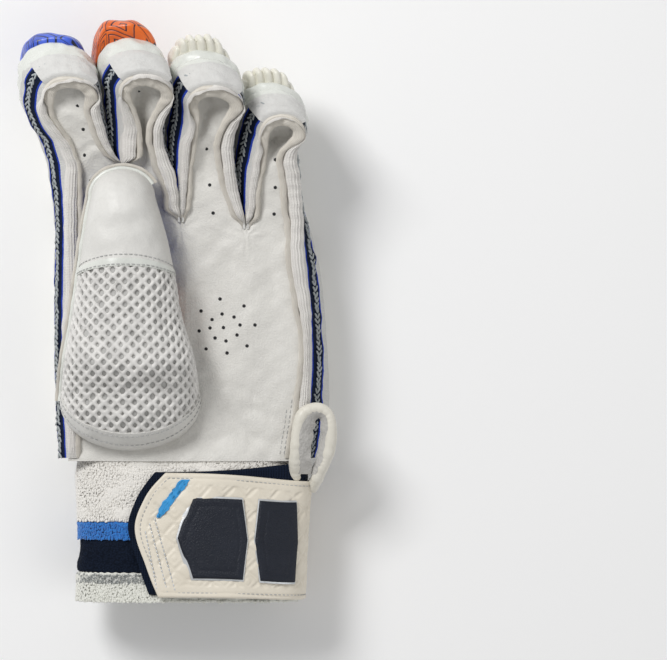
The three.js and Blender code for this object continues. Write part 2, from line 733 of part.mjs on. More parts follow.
// A raised panel of the strap with pointed ends.
const strapPanel = (from, to) =>
  cuffPatch(4, 4, (u, v) => {
    const point = 0.008 * Math.abs(2 * v - 1);
    return { turn: lerp(from + point, to - point, u), y: lerp(13, 53, v) };
  }, 8.9, 0.8);

// Wrist loop, a padded tube bent over into an arch beside the strap.
const loopLine = [
  [57.5, 61.5, 47.7], [59, 75, 46.4], [60.8, 87, 46.3], [64, 95, 46.2], [71, 98, 45.5],
  [77, 94.5, 45], [76.6, 84, 45], [73, 74, 45], [68.5, 68, 45.5],
];
const loopCurve = new THREE.CatmullRomCurve3(loopLine.map((p) => new THREE.Vector3(...p)));
const wristLoop = () => pipe(loopCurve.getPoints(16), 3, 6);

// A strip along the inside of the loop.
function loopLining() {
  const surface = grid(14, 1, (u, v) => {
    const at = lerp(0.08, 0.9, u);
    const inward = loopCurve.getTangent(at).cross(new THREE.Vector3(0, 0, 1)).normalize();
    const p = loopCurve.getPoint(at).addScaledVector(inward, 3.3 + 0.3 * v);
    return p.setZ(p.z + 1.5 - 4 * v);
  });
  return sheet(surface, 0.8);
}

// The pieces, by name and colour
const hues = {
  white: 0xe9e8e4, cream: 0xe6dfc8, leather: 0xe8e5dc, beige: 0xcdbf9f, blue: 0x1f56c4,
  orange: 0xe8541c, knit: 0xb9c6e4, navy: 0x1a2140, mesh: 0xd9dadb, terry: 0xdfe3ea,
  suede: 0x8f8f92, steel: 0xa9adb5,
};
const glove = new THREE.Group();
glove.name = "batting_glove";

function add(name, hue, geometry) {
  const mesh = new THREE.Mesh(geometry, new THREE.MeshStandardMaterial({ color: hues[hue] }));
  mesh.name = name;
  glove.add(mesh);
}

add("palm_leather", "leather", palmLeather());
add("back_panel", "cream", backPanel());
const tips = {
  index: ["blue", 0], middle: ["orange", 0], ring: ["cream", 0.1], little: ["cream", 0.1],
};
for (const finger of fingers) {
  const [hue, pleats] = tips[finger.name];
  add(`${finger.name}_binding`, "beige", binding(finger));
  add(`${finger.name}_gusset`, "knit", gusset(finger));
  add(`${finger.name}_tab`, "white", fingerTab(finger));
  add(`${finger.name}_tip_band`, "white", tipBand(finger));
  add(`${finger.name}_tip_roll`, hue, tipRoll(finger, pleats));
  add(`${finger.name}_mid_roll`, "cream", backRoll(finger, 1.335, 1.64, 3));
  add(`${finger.name}_base_roll`, "cream", backRoll(finger, kneeRow + 0.01, 1.315, 4));
  add(`${finger.name}_hand_roll`, "cream", backRoll(finger, 0.02, kneeRow - 0.006, 3));
}
add("thumb_leather", "leather", thumbPiece(thumbSeam + 0.014, 1, 7, leather, (t) => Math.sin((t * Math.PI) / 2)));
add("thumb_seam_tape", "white", thumbPiece(thumbSeam - 0.012, thumbSeam + 0.011, 1, leather));
add("thumb_mesh", "mesh", thumbPiece(0.065, thumbSeam - 0.0145, 7, leather));
add("thumb_hem", "white", thumbPiece(0, 0.062, 2, leather));
add("thumb_back", "cream", thumbBack());
add("thumb_piping", "white", thumbPiping());
add("thumb_guard_tip", "blue", thumbGuard(0.58, 0.97));
add("thumb_guard_base", "orange", thumbGuard(0.38, 0.575));
add("cuff_terry", "terry", cuffBand(terryLow, cuffTop, 3, 0.6));
add("cuff_blue_band", "blue", cuffBand(blueLow, terryLow - seamGap, 3, 0.3));
add("cuff_navy_band", "navy", cuffBand(navyLow, blueLow - seamGap, 3, 0.3));
add("cuff_hem", "terry", cuffBand(cuffLow, navyLow - seamGap, 3, 0.5));
add("elastic_strap", "navy", strap(-0.006, 11, 4, 1.4));
add("closure_strap", "cream", strap(0.004, 10, 5.8, 2.2));
add("strap_panel_left", "navy", strapPanel(0.246, 0.318));
add("strap_panel_right", "navy", strapPanel(0.33, 0.425));
add("strap_flash", "blue", cuffPatch(4, 1, (u, v) => ({
  turn: lerp(0.2285, 0.2475, v) + 0.008 * u, y: lerp(43, 63, v),
}), 8.3, 0.7));
add("wrist_loop", "cream", wristLoop());
add("loop_lining", "suede", loopLining());

// The origin goes to the floor under the middle of the glove.
const box = new THREE.Box3().setFromObject(glove);
const centre = box.getCenter(new THREE.Vector3());
glove.children.forEach((mesh) => mesh.geometry.translate(-centre.x, -centre.y, -box.min.z));

export default glove;
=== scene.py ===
import bpy
import numpy as np
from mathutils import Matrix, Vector


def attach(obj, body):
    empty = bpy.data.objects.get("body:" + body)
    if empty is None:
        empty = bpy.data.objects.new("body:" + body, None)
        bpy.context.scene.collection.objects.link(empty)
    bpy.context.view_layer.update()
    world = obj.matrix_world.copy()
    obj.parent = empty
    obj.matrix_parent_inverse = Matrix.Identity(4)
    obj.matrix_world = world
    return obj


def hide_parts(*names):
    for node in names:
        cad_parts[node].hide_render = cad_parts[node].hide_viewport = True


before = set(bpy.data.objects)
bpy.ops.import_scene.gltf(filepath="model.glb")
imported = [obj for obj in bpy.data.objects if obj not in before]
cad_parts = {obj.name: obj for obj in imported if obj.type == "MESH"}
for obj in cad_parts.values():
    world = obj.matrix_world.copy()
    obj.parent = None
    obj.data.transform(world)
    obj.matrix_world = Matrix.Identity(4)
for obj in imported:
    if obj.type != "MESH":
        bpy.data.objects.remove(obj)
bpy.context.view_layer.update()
print("frame loaded with", len(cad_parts), "nodes")

# Lengths are in millimetres in the flat pattern of the glove. x runs from the thumb side to the
# little finger, y from the wrist to the fingertips, and h is the height above the floor before
# the fingers are curled up.
patternOrigin = np.array([-1.0487, -146.3799, 0.0])

hand = {
    "backTop": 16.3, "palmTop": 39.8, "depth": 22, "rollDepth": 14,
    "width": 120, "wristY": 73.5, "fingerWidth": 28, "archLength": 11.76, "archStrip": 6,
    "curlRadius": 110, "kneeY": 190, "kneeSlope": -0.13, "sideLean": 0.3, "kneeRow": 0.75,
    "blendLength": 7, "webApart": 0.3, "webStrip": 1.4, "backSpread": 3,
}
thumbSide = {
    "along": [0, 0.25, 0.55, 0.8, 1],
    "inner": [-0.79, -0.79, -0.78, -0.77, -0.79],
    "outer": [-0.89, -0.92, -0.92, -0.91, -0.928],
    "back": [-0.94, -0.97, -0.98, -0.98, -0.978],
}
littleSide = {
    "along": [0, 0.25, 0.5, 0.75, 1],
    "inner": [0.93, 1, 1.04, 0.965, 0.925],
    "outer": [1.06, 1.12, 1.14, 1.11, 1.065],
    "back": [1.24, 1.28, 1.26, 1.22, 1.14],
}
webs = [
    {"x": -56, "y": 218.5, "side": thumbSide}, {"x": -27, "y": 218.5}, {"x": 3, "y": 191.5},
    {"x": 35.5, "y": 188}, {"x": 64, "y": 188, "side": littleSide},
]
fingers = [
    {
        "name": "index", "root": (-41.4, 218.5), "end": (-51.5, 268),
        "along": [0, 0.26, 0.44, 0.6, 0.77],
        "outerLeft": [-0.51, -0.53, -0.66, -0.69, -0.6],
        "innerLeft": [-0.22, -0.25, -0.4, -0.47, -0.4],
        "innerRight": [0.36, 0.18, 0.13, 0.13, 0.22],
        "outerRight": [0.51, 0.4, 0.38, 0.38, 0.42],
    },
    {
        "name": "middle", "root": (-12, 205), "end": (-12, 271),
        "along": [0, 0.19, 0.37, 0.53, 0.66, 0.8],
        "outerLeft": [-0.53, -0.52, -0.52, -0.52, -0.53, -0.54],
        "innerLeft": [-0.25, -0.22, -0.2, -0.2, -0.28, -0.34],
        "innerRight": [0.25, 0.07, -0.04, -0.02, 0.08, 0.2],
        "outerRight": [0.51, 0.4, 0.23, 0.22, 0.32, 0.4],
    },
    {
        "name": "ring", "root": (19.2, 189.8), "end": (20.2, 264.5),
        "along": [0, 0.2, 0.4, 0.55, 0.69, 0.83],
        "outerLeft": [-0.58, -0.59, -0.59, -0.56, -0.49, -0.49],
        "innerLeft": [-0.44, -0.43, -0.38, -0.34, -0.3, -0.31],
        "innerRight": [0.4, 0.18, 0.06, 0.03, 0.14, 0.3],
        "outerRight": [0.57, 0.46, 0.34, 0.32, 0.4, 0.51],
    },
    {
        "name": "little", "root": (49, 188), "end": (55.5, 248),
        "along": [0, 0.23, 0.43, 0.63, 0.8],
        "outerLeft": [-0.48, -0.5, -0.52, -0.48, -0.42],
        "innerLeft": [-0.3, -0.3, -0.31, -0.29, -0.24],
        "innerRight": [0.23, 0.11, 0.02, -0.02, 0.2],
        "outerRight": [0.53, 0.42, 0.35, 0.28, 0.4],
    },
]
for order, finger in enumerate(fingers):
    finger.update(order=order, Left=webs[order], Right=webs[order + 1])


# Small maths

def clamp01(t):
    return np.clip(t, 0, 1)


def lerp(a, b, t):  # a + (b - a) t
    return a + (b - a) * t


def smooth(t):  # 3t^2 - 2t^3 between 0 and 1
    t = clamp01(t)
    return t * t * (3 - 2 * t)


def bump(t):  # (1 - t^2)^2 inside -1..1
    return np.maximum(0, 1 - t * t) ** 2


def swell(t):  # the height of a half circle
    return np.sqrt(np.maximum(0, 1 - t * t))


def spread(u):  # (1 - cos pi u) / 2, closer steps at both ends
    return (1 - np.cos(np.pi * u)) / 2


def unit(vectors):
    return vectors / np.maximum(np.linalg.norm(vectors, axis=-1, keepdims=True), 1e-9)


def column(table, name, along):
    # A cubic through the table's rows, its slope at a row being that between the rows beside it
    place, value = np.array(table["along"], float), np.array(table[name], float)
    last = len(place) - 1
    before, after = np.maximum(np.arange(last + 1) - 1, 0), np.minimum(np.arange(last + 1) + 1, last)
    slope = (value[after] - value[before]) / (place[after] - place[before])
    t = np.clip(along, place[0], place[-1])
    i = np.clip(np.searchsorted(place, t) - 1, 0, last - 1)
    span = place[i + 1] - place[i]
    s = (t - place[i]) / span
    return (value[i] * (2 * s**3 - 3 * s**2 + 1) + slope[i] * span * (s**3 - 2 * s**2 + s)
            + value[i + 1] * (3 * s**2 - 2 * s**3) + slope[i + 1] * span * (s**3 - s**2))


def ripple(points, size, seed, waves=11):
    # Sine waves in random directions, 0.6 to 1.6 of size long, added up to a spread of about 1
    random = np.random.default_rng(seed)
    turn = unit(random.normal(size=(waves, 3)))
    turn *= (2 * np.pi / (size * random.uniform(0.6, 1.6, waves)))[:, None]
    phase = random.uniform(0, 2 * np.pi, waves)
    return np.sin(points @ turn.T + phase).sum(axis=-1) * (2 / waves) ** 0.5


def flat(x, y):
    # Points at height 0 for ripple
    return np.stack(np.broadcast_arrays(x, y, np.zeros(1)[0]), axis=-1)


def surfaceNormals(grid):
    # Cross product of the steps along the rows and up the columns
    return unit(np.cross(np.gradient(grid, axis=1), np.gradient(grid, axis=0)))


def paramGrid(columns, rows):
    return np.meshgrid(np.linspace(0, 1, columns + 1), np.linspace(0, 1, rows + 1))


# Pattern of the hand, as in the part's own source

def curl(x, y, h):
    # Past the knuckle line the sheet turns up round curlRadius, and its depth leans sideways
    knee = hand["kneeY"] + hand["kneeSlope"] * x
    angle = np.maximum(0, y - knee) / hand["curlRadius"]
    rise = h - hand["palmTop"]
    lean = hand["sideLean"] * smooth((y - knee + 10) / 45)
    radius = hand["curlRadius"]
    return np.stack(np.broadcast_arrays(
        x + lean * rise,
        np.minimum(y, knee) + (radius - rise) * np.sin(angle),
        hand["palmTop"] + radius * (1 - np.cos(angle)) + rise * np.cos(angle),
    ), axis=-1)


def alongOf(finger, y):
    return (y - finger["root"][1]) / (finger["end"][1] - finger["root"][1])


def axisOf(finger, y):
    return lerp(finger["root"][0], finger["end"][0], alongOf(finger, y))


def archY(finger):
    return finger["end"][1] - hand["archLength"]


def sideX(web, kind, along):
    return column(web["side"], kind, along) * hand["width"] / 2


def webX(web, kind):
    return float(sideX(web, kind, 1.0)) if "side" in web else web["x"]


def edgeX(finger, kind, side, y, apart=0.0):
    # x of a finger's edge: from its web it blends over blendLength into the finger's own table
    sign = -1 if side == "Left" else 1
    web = finger[side]
    edgeKind = "inner" if kind == "inner" else "outer"

    def free(one, name):
        above = np.maximum(y, web["y"])
        return axisOf(one, y) + hand["fingerWidth"] * column(one, name, alongOf(one, above))

    inset = 0 if "side" in web else apart + (hand["webStrip"] if kind == "inner" else 0)
    start = webX(web, edgeKind) - sign * inset
    edge = lerp(start, free(finger, edgeKind + side), smooth((y - web["y"]) / hand["blendLength"]))
    if kind == "back":
        order = finger["order"] + sign
        if 0 <= order < len(fingers):
            facing = "outerRight" if side == "Left" else "outerLeft"
            room = sign * (free(fingers[order], facing) - edge)
            wide = hand["backSpread"] * smooth((y - web["y"]) / 12)
            edge = edge + sign * np.minimum(wide, np.maximum(0, room / 2 - 3.2))
        else:
            edge = edge + sign * hand["backSpread"]
    if "side" in web:
        share = (y - hand["wristY"]) / (web["y"] - hand["wristY"])
        edge = np.where(y <= web["y"], sideX(web, kind, share), edge)
    return edge


def fingerX(finger, kind, u, y, apart=0.0):
    low = np.minimum(y, archY(finger))
    left = edgeX(finger, kind, "Left", low, apart)
    return lerp(left, edgeX(finger, kind, "Right", low, apart), spread(u))


def palmShare(rootX, rootY, v):
    # Rows spread so that one of them lies on the knuckle line
    knee = (hand["kneeY"] + hand["kneeSlope"] * rootX - hand["wristY"]) / (rootY - hand["wristY"])
    row = hand["kneeRow"]
    return np.where(v < row, v / row * knee, lerp(knee, 1, (v - row) / (1 - row)))


def palmPoint(finger, kind, u, v):
    first, last = webX(webs[0], kind), webX(webs[-1], kind)
    rootX = lerp(webX(finger["Left"], kind), webX(finger["Right"], kind), spread(u))
    rootY = lerp(finger["Left"]["y"], finger["Right"]["y"], spread(u))
    along = palmShare(rootX, rootY, v)
    left, right = sideX(webs[0], kind, along), sideX(webs[-1], kind, along)
    return lerp(left, right, (rootX - first) / (last - first)), lerp(hand["wristY"], rootY, along)


def fingerPoint(finger, kind, u, v):
    rootX = lerp(webX(finger["Left"], kind), webX(finger["Right"], kind), spread(u))
    rootY = lerp(finger["Left"]["y"], finger["Right"]["y"], spread(u))
    y = lerp(rootY, archY(finger) + hand["archLength"] * np.sin(np.pi * u), v)
    return np.where(v == 0, rootX, fingerX(finger, kind, u, y)), y


outlineSteps = {"palm": 76, "side": 54, "arch": 40}


def outline(finger, kind):
    # Up the finger's left side, round its end and down the right, in even steps of the pattern
    end = archY(finger)

    def palmPart(web):
        v = np.arange(outlineSteps["palm"]) / outlineSteps["palm"]
        return lerp(hand["wristY"], web["y"], palmShare(webX(web, kind), web["y"], v))

    def sidePart(side):
        rows = np.arange(outlineSteps["side"]) / outlineSteps["side"]
        ys = lerp(finger[side]["y"], end, rows)
        if "side" in finger[side]:
            ys = np.concatenate([palmPart(finger[side]), ys])
        return edgeX(finger, kind, side, ys, hand["webApart"]), ys

    u = np.linspace(0, 1, outlineSteps["arch"] + 1)
    strip = hand["archStrip"] * np.sin(np.pi * u) if kind == "inner" else 0
    archX = fingerX(finger, kind, u, np.full_like(u, end), hand["webApart"])
    archLine = end + hand["archLength"] * np.sin(np.pi * u) - strip
    leftX, leftY = sidePart("Left")
    rightX, rightY = sidePart("Right")
    return (np.concatenate([leftX, archX, rightX[::-1]]),
            np.concatenate([leftY, archLine, rightY[::-1]]))


def archMask(finger):
    # 1 on the finger's round end, falling to 0 a little way down both sides
    left = outlineSteps["side"] + ("side" in finger["Left"]) * outlineSteps["palm"]
    right = outlineSteps["side"] + ("side" in finger["Right"]) * outlineSteps["palm"]
    count = left + outlineSteps["arch"] + 1 + right
    k = np.arange(count)
    past = np.maximum(left - k, k - left - outlineSteps["arch"])
    return smooth(1 - np.maximum(0, past) / 9), left


def sideOutline(finger, h):
    # The outline at a height between the back (wider) and the palm
    share = clamp01((h - hand["backTop"]) / hand["depth"])
    backX, backY = outline(finger, "back")
    outerX, outerY = outline(finger, "outer")
    return lerp(backX, outerX, share), lerp(backY, outerY, share)


def pushOut(x, y, distance):
    # Moves an outline outwards, across its own run
    stepX, stepY = np.gradient(x), np.gradient(y)
    length = np.hypot(stepX, stepY)
    return x - stepY / length * distance, y + stepX / length * distance


# Meshes

def gridQuads(rows, columns, wrap=False):
    # Corners of the quads of a grid of rows x columns points; wrap joins its last column to its first
    index = np.arange(rows * columns).reshape(rows, columns)
    right = np.roll(index, -1, axis=1) if wrap else index[:, 1:]
    left = index if wrap else index[:, :-1]
    return np.stack([left[:-1], right[:-1], right[1:], left[1:]], axis=-1).reshape(-1, 4)


def makePiece(name, points, faces, uv=None, sharp=50):
    # points in millimetres, faces as arrays of corners; turned outwards by the sign of the volume
    points = points.reshape(-1, 3)
    volume = sum(np.einsum("ij,ij->", points[f[:, 0]],
                           np.cross(points[f[:, k]], points[f[:, k + 1]]))
                 for f in faces for k in range(1, f.shape[1] - 1))
    if volume < 0:
        faces = [f[:, ::-1] for f in faces]
    corners = np.concatenate([f.ravel() for f in faces]).astype(np.int32)
    sizes = np.concatenate([np.full(len(f), f.shape[1]) for f in faces])
    mesh = bpy.data.meshes.new(name)
    mesh.vertices.add(len(points))
    mesh.vertices.foreach_set("co", ((points + patternOrigin) * 0.001).astype(np.float32).ravel())
    mesh.loops.add(len(corners))
    mesh.loops.foreach_set("vertex_index", corners)
    mesh.polygons.add(len(sizes))
    mesh.polygons.foreach_set("loop_start", (np.cumsum(sizes) - sizes).astype(np.int32))
    mesh.update(calc_edges=True)
    mesh.validate()
    if uv is not None:
        layer = mesh.uv_layers.new(name="pattern")
        layer.data.foreach_set("uv", uv.reshape(-1, 2)[corners].astype(np.float32).ravel())
    mesh.polygons.foreach_set("use_smooth", np.ones(len(sizes), bool))
    mesh.set_sharp_from_angle(angle=np.radians(sharp))
    piece = bpy.data.objects.new(name, mesh)
    bpy.context.scene.collection.objects.link(piece)
    return piece


def closeSheet(points, quads, thickness):
    # A second layer at thickness behind the first along its normals (in front, if it is negative),
    # and walls round the free edges
    points = points.reshape(-1, 3)
    corner = points[quads]
    turn = np.cross(corner[:, 2] - corner[:, 0], corner[:, 3] - corner[:, 1])
    normals = np.zeros_like(points)
    for k in range(4):
        np.add.at(normals, quads[:, k], turn)
    behind = points - unit(normals) * np.reshape(thickness, (-1, 1))
    edges = quads[:, [0, 1, 1, 2, 2, 3, 3, 0]].reshape(-1, 2)
    _, index, counts = np.unique(np.sort(edges, axis=1), axis=0, return_index=True, return_counts=True)
    rim = edges[index[counts == 1]]
    n = len(points)
    walls = np.column_stack([rim[:, 1], rim[:, 0], rim[:, 0] + n, rim[:, 1] + n])
    return np.vstack([points, behind]), [quads, quads[:, ::-1] + n, walls]


def sheetPiece(name, grid, thickness, uv=None, quads=None, sharp=50):
    if quads is None:
        quads = gridQuads(*grid.shape[:2])
    points, faces = closeSheet(grid, quads, thickness)
    uvs = None if uv is None else np.vstack([uv.reshape(-1, 2)] * 2)
    return makePiece(name, points, faces, uvs, sharp)


def betweenPiece(name, top, bottom, uv=None, sharp=50, lowUv=None):
    # A closed body between two grids with the same steps
    rows, columns = top.shape[:2]
    quads = gridQuads(rows, columns)
    index = np.arange(rows * columns).reshape(rows, columns)
    rim = np.concatenate([index[0, :-1], index[:-1, -1], index[-1, :0:-1], index[:0:-1, 0]])
    after = np.roll(rim, -1)
    n = rows * columns
    walls = np.column_stack([after, rim, rim + n, after + n])
    points = np.vstack([top.reshape(-1, 3), bottom.reshape(-1, 3)])
    lowUv = uv if lowUv is None else lowUv
    uvs = None if uv is None else np.vstack([uv.reshape(-1, 2), lowUv.reshape(-1, 2)])
    return makePiece(name, points, [quads, quads[:, ::-1] + n, walls], uvs, sharp)


def loftPiece(name, rings, uv=None, sharp=60):
    # Closed rings of points (rows) joined along a path, with a fan of triangles over both ends
    rows, columns = rings.shape[:2]
    quads = gridQuads(rows, columns, wrap=True)
    ends = np.vstack([rings[0].mean(axis=0), rings[-1].mean(axis=0)])
    n = rows * columns
    first, last = np.arange(columns), n - columns + np.arange(columns)
    fans = np.vstack([
        np.column_stack([np.roll(first, -1), first, np.full(columns, n)]),
        np.column_stack([last, np.roll(last, -1), np.full(columns, n + 1)]),
    ])
    uvs = None if uv is None else np.vstack([uv.reshape(-1, 2), uv[0, :1], uv[-1, :1]])
    return makePiece(name, np.vstack([rings.reshape(-1, 3), ends]), [quads, fans], uvs, sharp)


def tube(path, radius, sides=14, up=(0, 0, 1)):
    # Rings round a path: centre + radius (side cos a + lift sin a); radius may vary over the rings
    along = unit(np.gradient(path, axis=0))
    side = unit(np.cross(along, np.broadcast_to(up, along.shape)))
    lift = np.cross(side, along)
    angle = np.linspace(0, 2 * np.pi, sides, endpoint=False)
    radius = np.broadcast_to(radius, (len(path), sides))[..., None]
    return path[:, None] + radius * (side[:, None] * np.cos(angle)[:, None]
                                     + lift[:, None] * np.sin(angle)[:, None])


def arcLength(path):
    return np.concatenate([[0], np.cumsum(np.linalg.norm(np.diff(path, axis=0), axis=1))])


def resample(path, arc, at):
    return np.stack([np.interp(at, arc, path[:, k]) for k in range(path.shape[1])], axis=-1)


def beads(centre, along, up, length, radius, height):
    # Small closed barrels: four hexagons along each, at +-0.5 and +-0.32 of its length
    side = np.cross(along, up)
    t = np.array([-0.5, -0.32, 0.32, 0.5]) * length
    r = np.array([0.5, 1, 1, 0.5])
    angle = np.linspace(0, 2 * np.pi, 6, endpoint=False)
    rings = (centre[:, None, None] + along[:, None, None] * t[:, None, None]
             + side[:, None, None] * (r[:, None] * np.cos(angle) * radius)[..., None]
             + up[:, None, None] * (r[:, None] * np.sin(angle) * height)[..., None])
    count = len(centre)
    base = (np.arange(count) * 24)[:, None, None]
    quads = (gridQuads(4, 6, wrap=True)[None] + base).reshape(-1, 4)
    caps = np.stack([np.arange(6)[::-1], 18 + np.arange(6)])[None] + base
    return rings.reshape(-1, 3), quads, caps.reshape(-1, 6)


def stitches(name, rows, pitch=2.6, length=1.8, radius=0.3, height=0.22):
    # A bead every pitch along each row; a row is a path with the surface's normals along it
    parts = []
    for path, normals in rows:
        arc = arcLength(path)
        at = np.arange(pitch / 2, arc[-1], pitch)
        ahead = resample(path, arc, at + 0.4) - resample(path, arc, at - 0.4)
        up = unit(resample(normals, arc, at))
        parts.append(beads(resample(path, arc, at) + up * 0.08, unit(ahead), up,
                           length, radius, height))
    return joinBeads(name, parts)


def joinBeads(name, parts):
    starts = np.cumsum([0] + [len(p[0]) for p in parts])
    points = np.vstack([p[0] for p in parts])
    quads = np.vstack([p[1] + s for p, s in zip(parts, starts)])
    caps = np.vstack([p[2] + s for p, s in zip(parts, starts)])
    return makePiece(name, points, [quads, caps], sharp=80)


# Materials

class Nodes:
    # A Principled material and short calls that add nodes to it
    def __init__(self, name, colour, roughness, **sockets):
        self.material = bpy.data.materials.new(name)
        self.material.use_nodes = True
        self.tree = self.material.node_tree
        self.shader = self.tree.nodes["Principled BSDF"]
        self.shader.inputs["Base Color"].default_value = (*colour, 1)
        self.shader.inputs["Roughness"].default_value = roughness
        for socket, value in sockets.items():
            self.shader.inputs[socket.replace("_", " ")].default_value = value
        self.relief = None

    def add(self, kind, output=0, settings=None, **inputs):
        node = self.tree.nodes.new("ShaderNode" + kind)
        for key, value in (settings or {}).items():
            setattr(node, key, value)
        for key, value in inputs.items():
            name = key.replace("_", " ")
            place = int(name[1:]) if name[0] == "i" and name[1:].isdigit() else name
            self.put(node.inputs[place], value)
        return node.outputs[output]

    def put(self, socket, value):
        if isinstance(value, bpy.types.NodeSocket):
            self.tree.links.new(value, socket)
        else:
            socket.default_value = value

    def calc(self, operation, a, b=0.0, c=0.0):
        return self.add("Math", settings={"operation": operation}, i0=a, i1=b, i2=c)

    def mix(self, share, a, b):
        # A colour between a and b
        node = self.tree.nodes.new("ShaderNodeMix")
        node.data_type = "RGBA"
        self.put(node.inputs[0], share)
        for place, value in ((6, a), (7, b)):
            self.put(node.inputs[place], value if isinstance(value, bpy.types.NodeSocket) else (*value, 1))
        return node.outputs[2]

    def step(self, value, low, high, to=(0.0, 1.0)):
        return self.add("MapRange", settings={"interpolation_type": "SMOOTHSTEP"}, Value=value,
                        From_Min=low, From_Max=high, To_Min=to[0], To_Max=to[1])

    def objectPlace(self):
        return self.add("TexCoord", output="Object")

    def uvPlace(self):
        # Both pattern coordinates, in millimetres
        split = self.add("UVMap", settings={"uv_map": "pattern"})
        node = self.tree.nodes.new("ShaderNodeSeparateXYZ")
        self.tree.links.new(split, node.inputs[0])
        return node.outputs[0], node.outputs[1]

    def noise(self, size, detail=3.0, place=None, rough=0.55):
        # Noise with lumps of about size millimetres, round 0.5
        return self.add("TexNoise", Vector=place or self.objectPlace(), Scale=1000 / size,
                        Detail=detail, Roughness=rough)

    def cells(self, size, feature="F1"):
        return self.add("TexVoronoi", settings={"feature": feature}, Vector=self.objectPlace(),
                        Scale=1000 / size)

    def addRelief(self, height, millimetres):
        # Adds relief: a height from 0 to 1 that stands for so many millimetres
        bumpNode = self.tree.nodes.new("ShaderNodeBump")
        bumpNode.inputs["Strength"].default_value = 1.0
        bumpNode.inputs["Distance"].default_value = millimetres * 0.001
        self.put(bumpNode.inputs["Height"], height)
        if self.relief is not None:
            self.tree.links.new(self.relief, bumpNode.inputs["Normal"])
        self.relief = bumpNode.outputs[0]
        self.put(self.shader.inputs["Normal"], self.relief)

    def paint(self, colour):
        self.put(self.shader.inputs["Base Color"], colour)


def leatherMaterial(name, colour, shade, roughness=0.5, grain=0.9, depth=0.1, crease=0.0, **sockets):
    # Pebbled skin: cells of grain millimetres, creases between them, and slow changes of tone
    m = Nodes(name, colour, roughness, **sockets)
    slow, fine = m.noise(22, 4), m.noise(2.2, 3)
    tone = m.calc("MULTIPLY", m.step(slow, 0.35, 0.7), 0.6)
    tone = m.calc("ADD", tone, m.calc("MULTIPLY", m.step(fine, 0.4, 0.75), 0.4))
    m.paint(m.mix(tone, colour, shade))
    m.addRelief(m.cells(grain), depth)
    m.addRelief(m.noise(grain * 0.45, 2), depth * 0.6)
    if crease:
        m.addRelief(m.noise(5.5, 5, rough=0.62), crease)
    m.put(m.shader.inputs["Roughness"], m.step(fine, 0.3, 0.8, (roughness - 0.06, roughness + 0.1)))
    return m


def woolMaterial(name, colour, shade, loop=1.1, depth=0.5, roughness=0.9, fleck=None, **sockets):
    # Terry loops: lumps of loop millimetres, with painted shade in the gaps between them
    m = Nodes(name, colour, roughness, **(sockets or {"Sheen_Weight": 0.3, "Sheen_Roughness": 0.5}))
    lumps, fuzz = m.cells(loop), m.noise(loop * 0.4, 3)
    # painted shade: the gaps between the loops, where the cell distance is largest, take the shade colour
    paintedGapShade = m.step(lumps, 0.25, 0.75)
    tone = m.mix(paintedGapShade, colour, shade)
    if fleck:
        tone = m.mix(m.step(m.noise(1.6, 2), 0.5, 0.6), tone, fleck)
    m.paint(tone)
    m.addRelief(m.calc("SUBTRACT", 1.0, lumps), depth)
    m.addRelief(fuzz, depth * 0.5)
    return m


def ribMaterial(name, colour, shade, pitch=0.9, depth=0.3, roughness=0.85, cross=0.0, **sockets):
    # Knit ribs along the first pattern coordinate, pitch apart across the second, with painted shade in the
    # grooves between them and slow random tone
    m = Nodes(name, colour, roughness, **(sockets or {"Sheen_Weight": 0.2, "Sheen_Roughness": 0.5}))
    along, across = m.uvPlace()
    wave = m.calc("SINE", m.calc("MULTIPLY", across, 2 * np.pi / pitch))
    rib = m.calc("MULTIPLY_ADD", wave, 0.5, 0.5)
    stitch = m.calc("SINE", m.calc("MULTIPLY", along, 2 * np.pi / (pitch * 0.9)))
    knit = m.calc("MULTIPLY_ADD", stitch, 0.5, 0.5)
    fuzz = m.noise(0.5, 3)
    # painted shade: the colour turns to the shade colour in the rib grooves, where the relief is lowest
    tone = m.calc("MULTIPLY", m.step(rib, 0.0, 0.55, (1.0, 0.0)), 0.55)
    tone = m.calc("ADD", tone, m.calc("MULTIPLY", m.step(m.noise(7, 3), 0.4, 0.7), 0.35))
    m.paint(m.mix(tone, colour, shade))
    m.addRelief(rib, depth)
    m.addRelief(knit, cross or depth * 0.35)
    m.addRelief(fuzz, depth * 0.5)
    return m


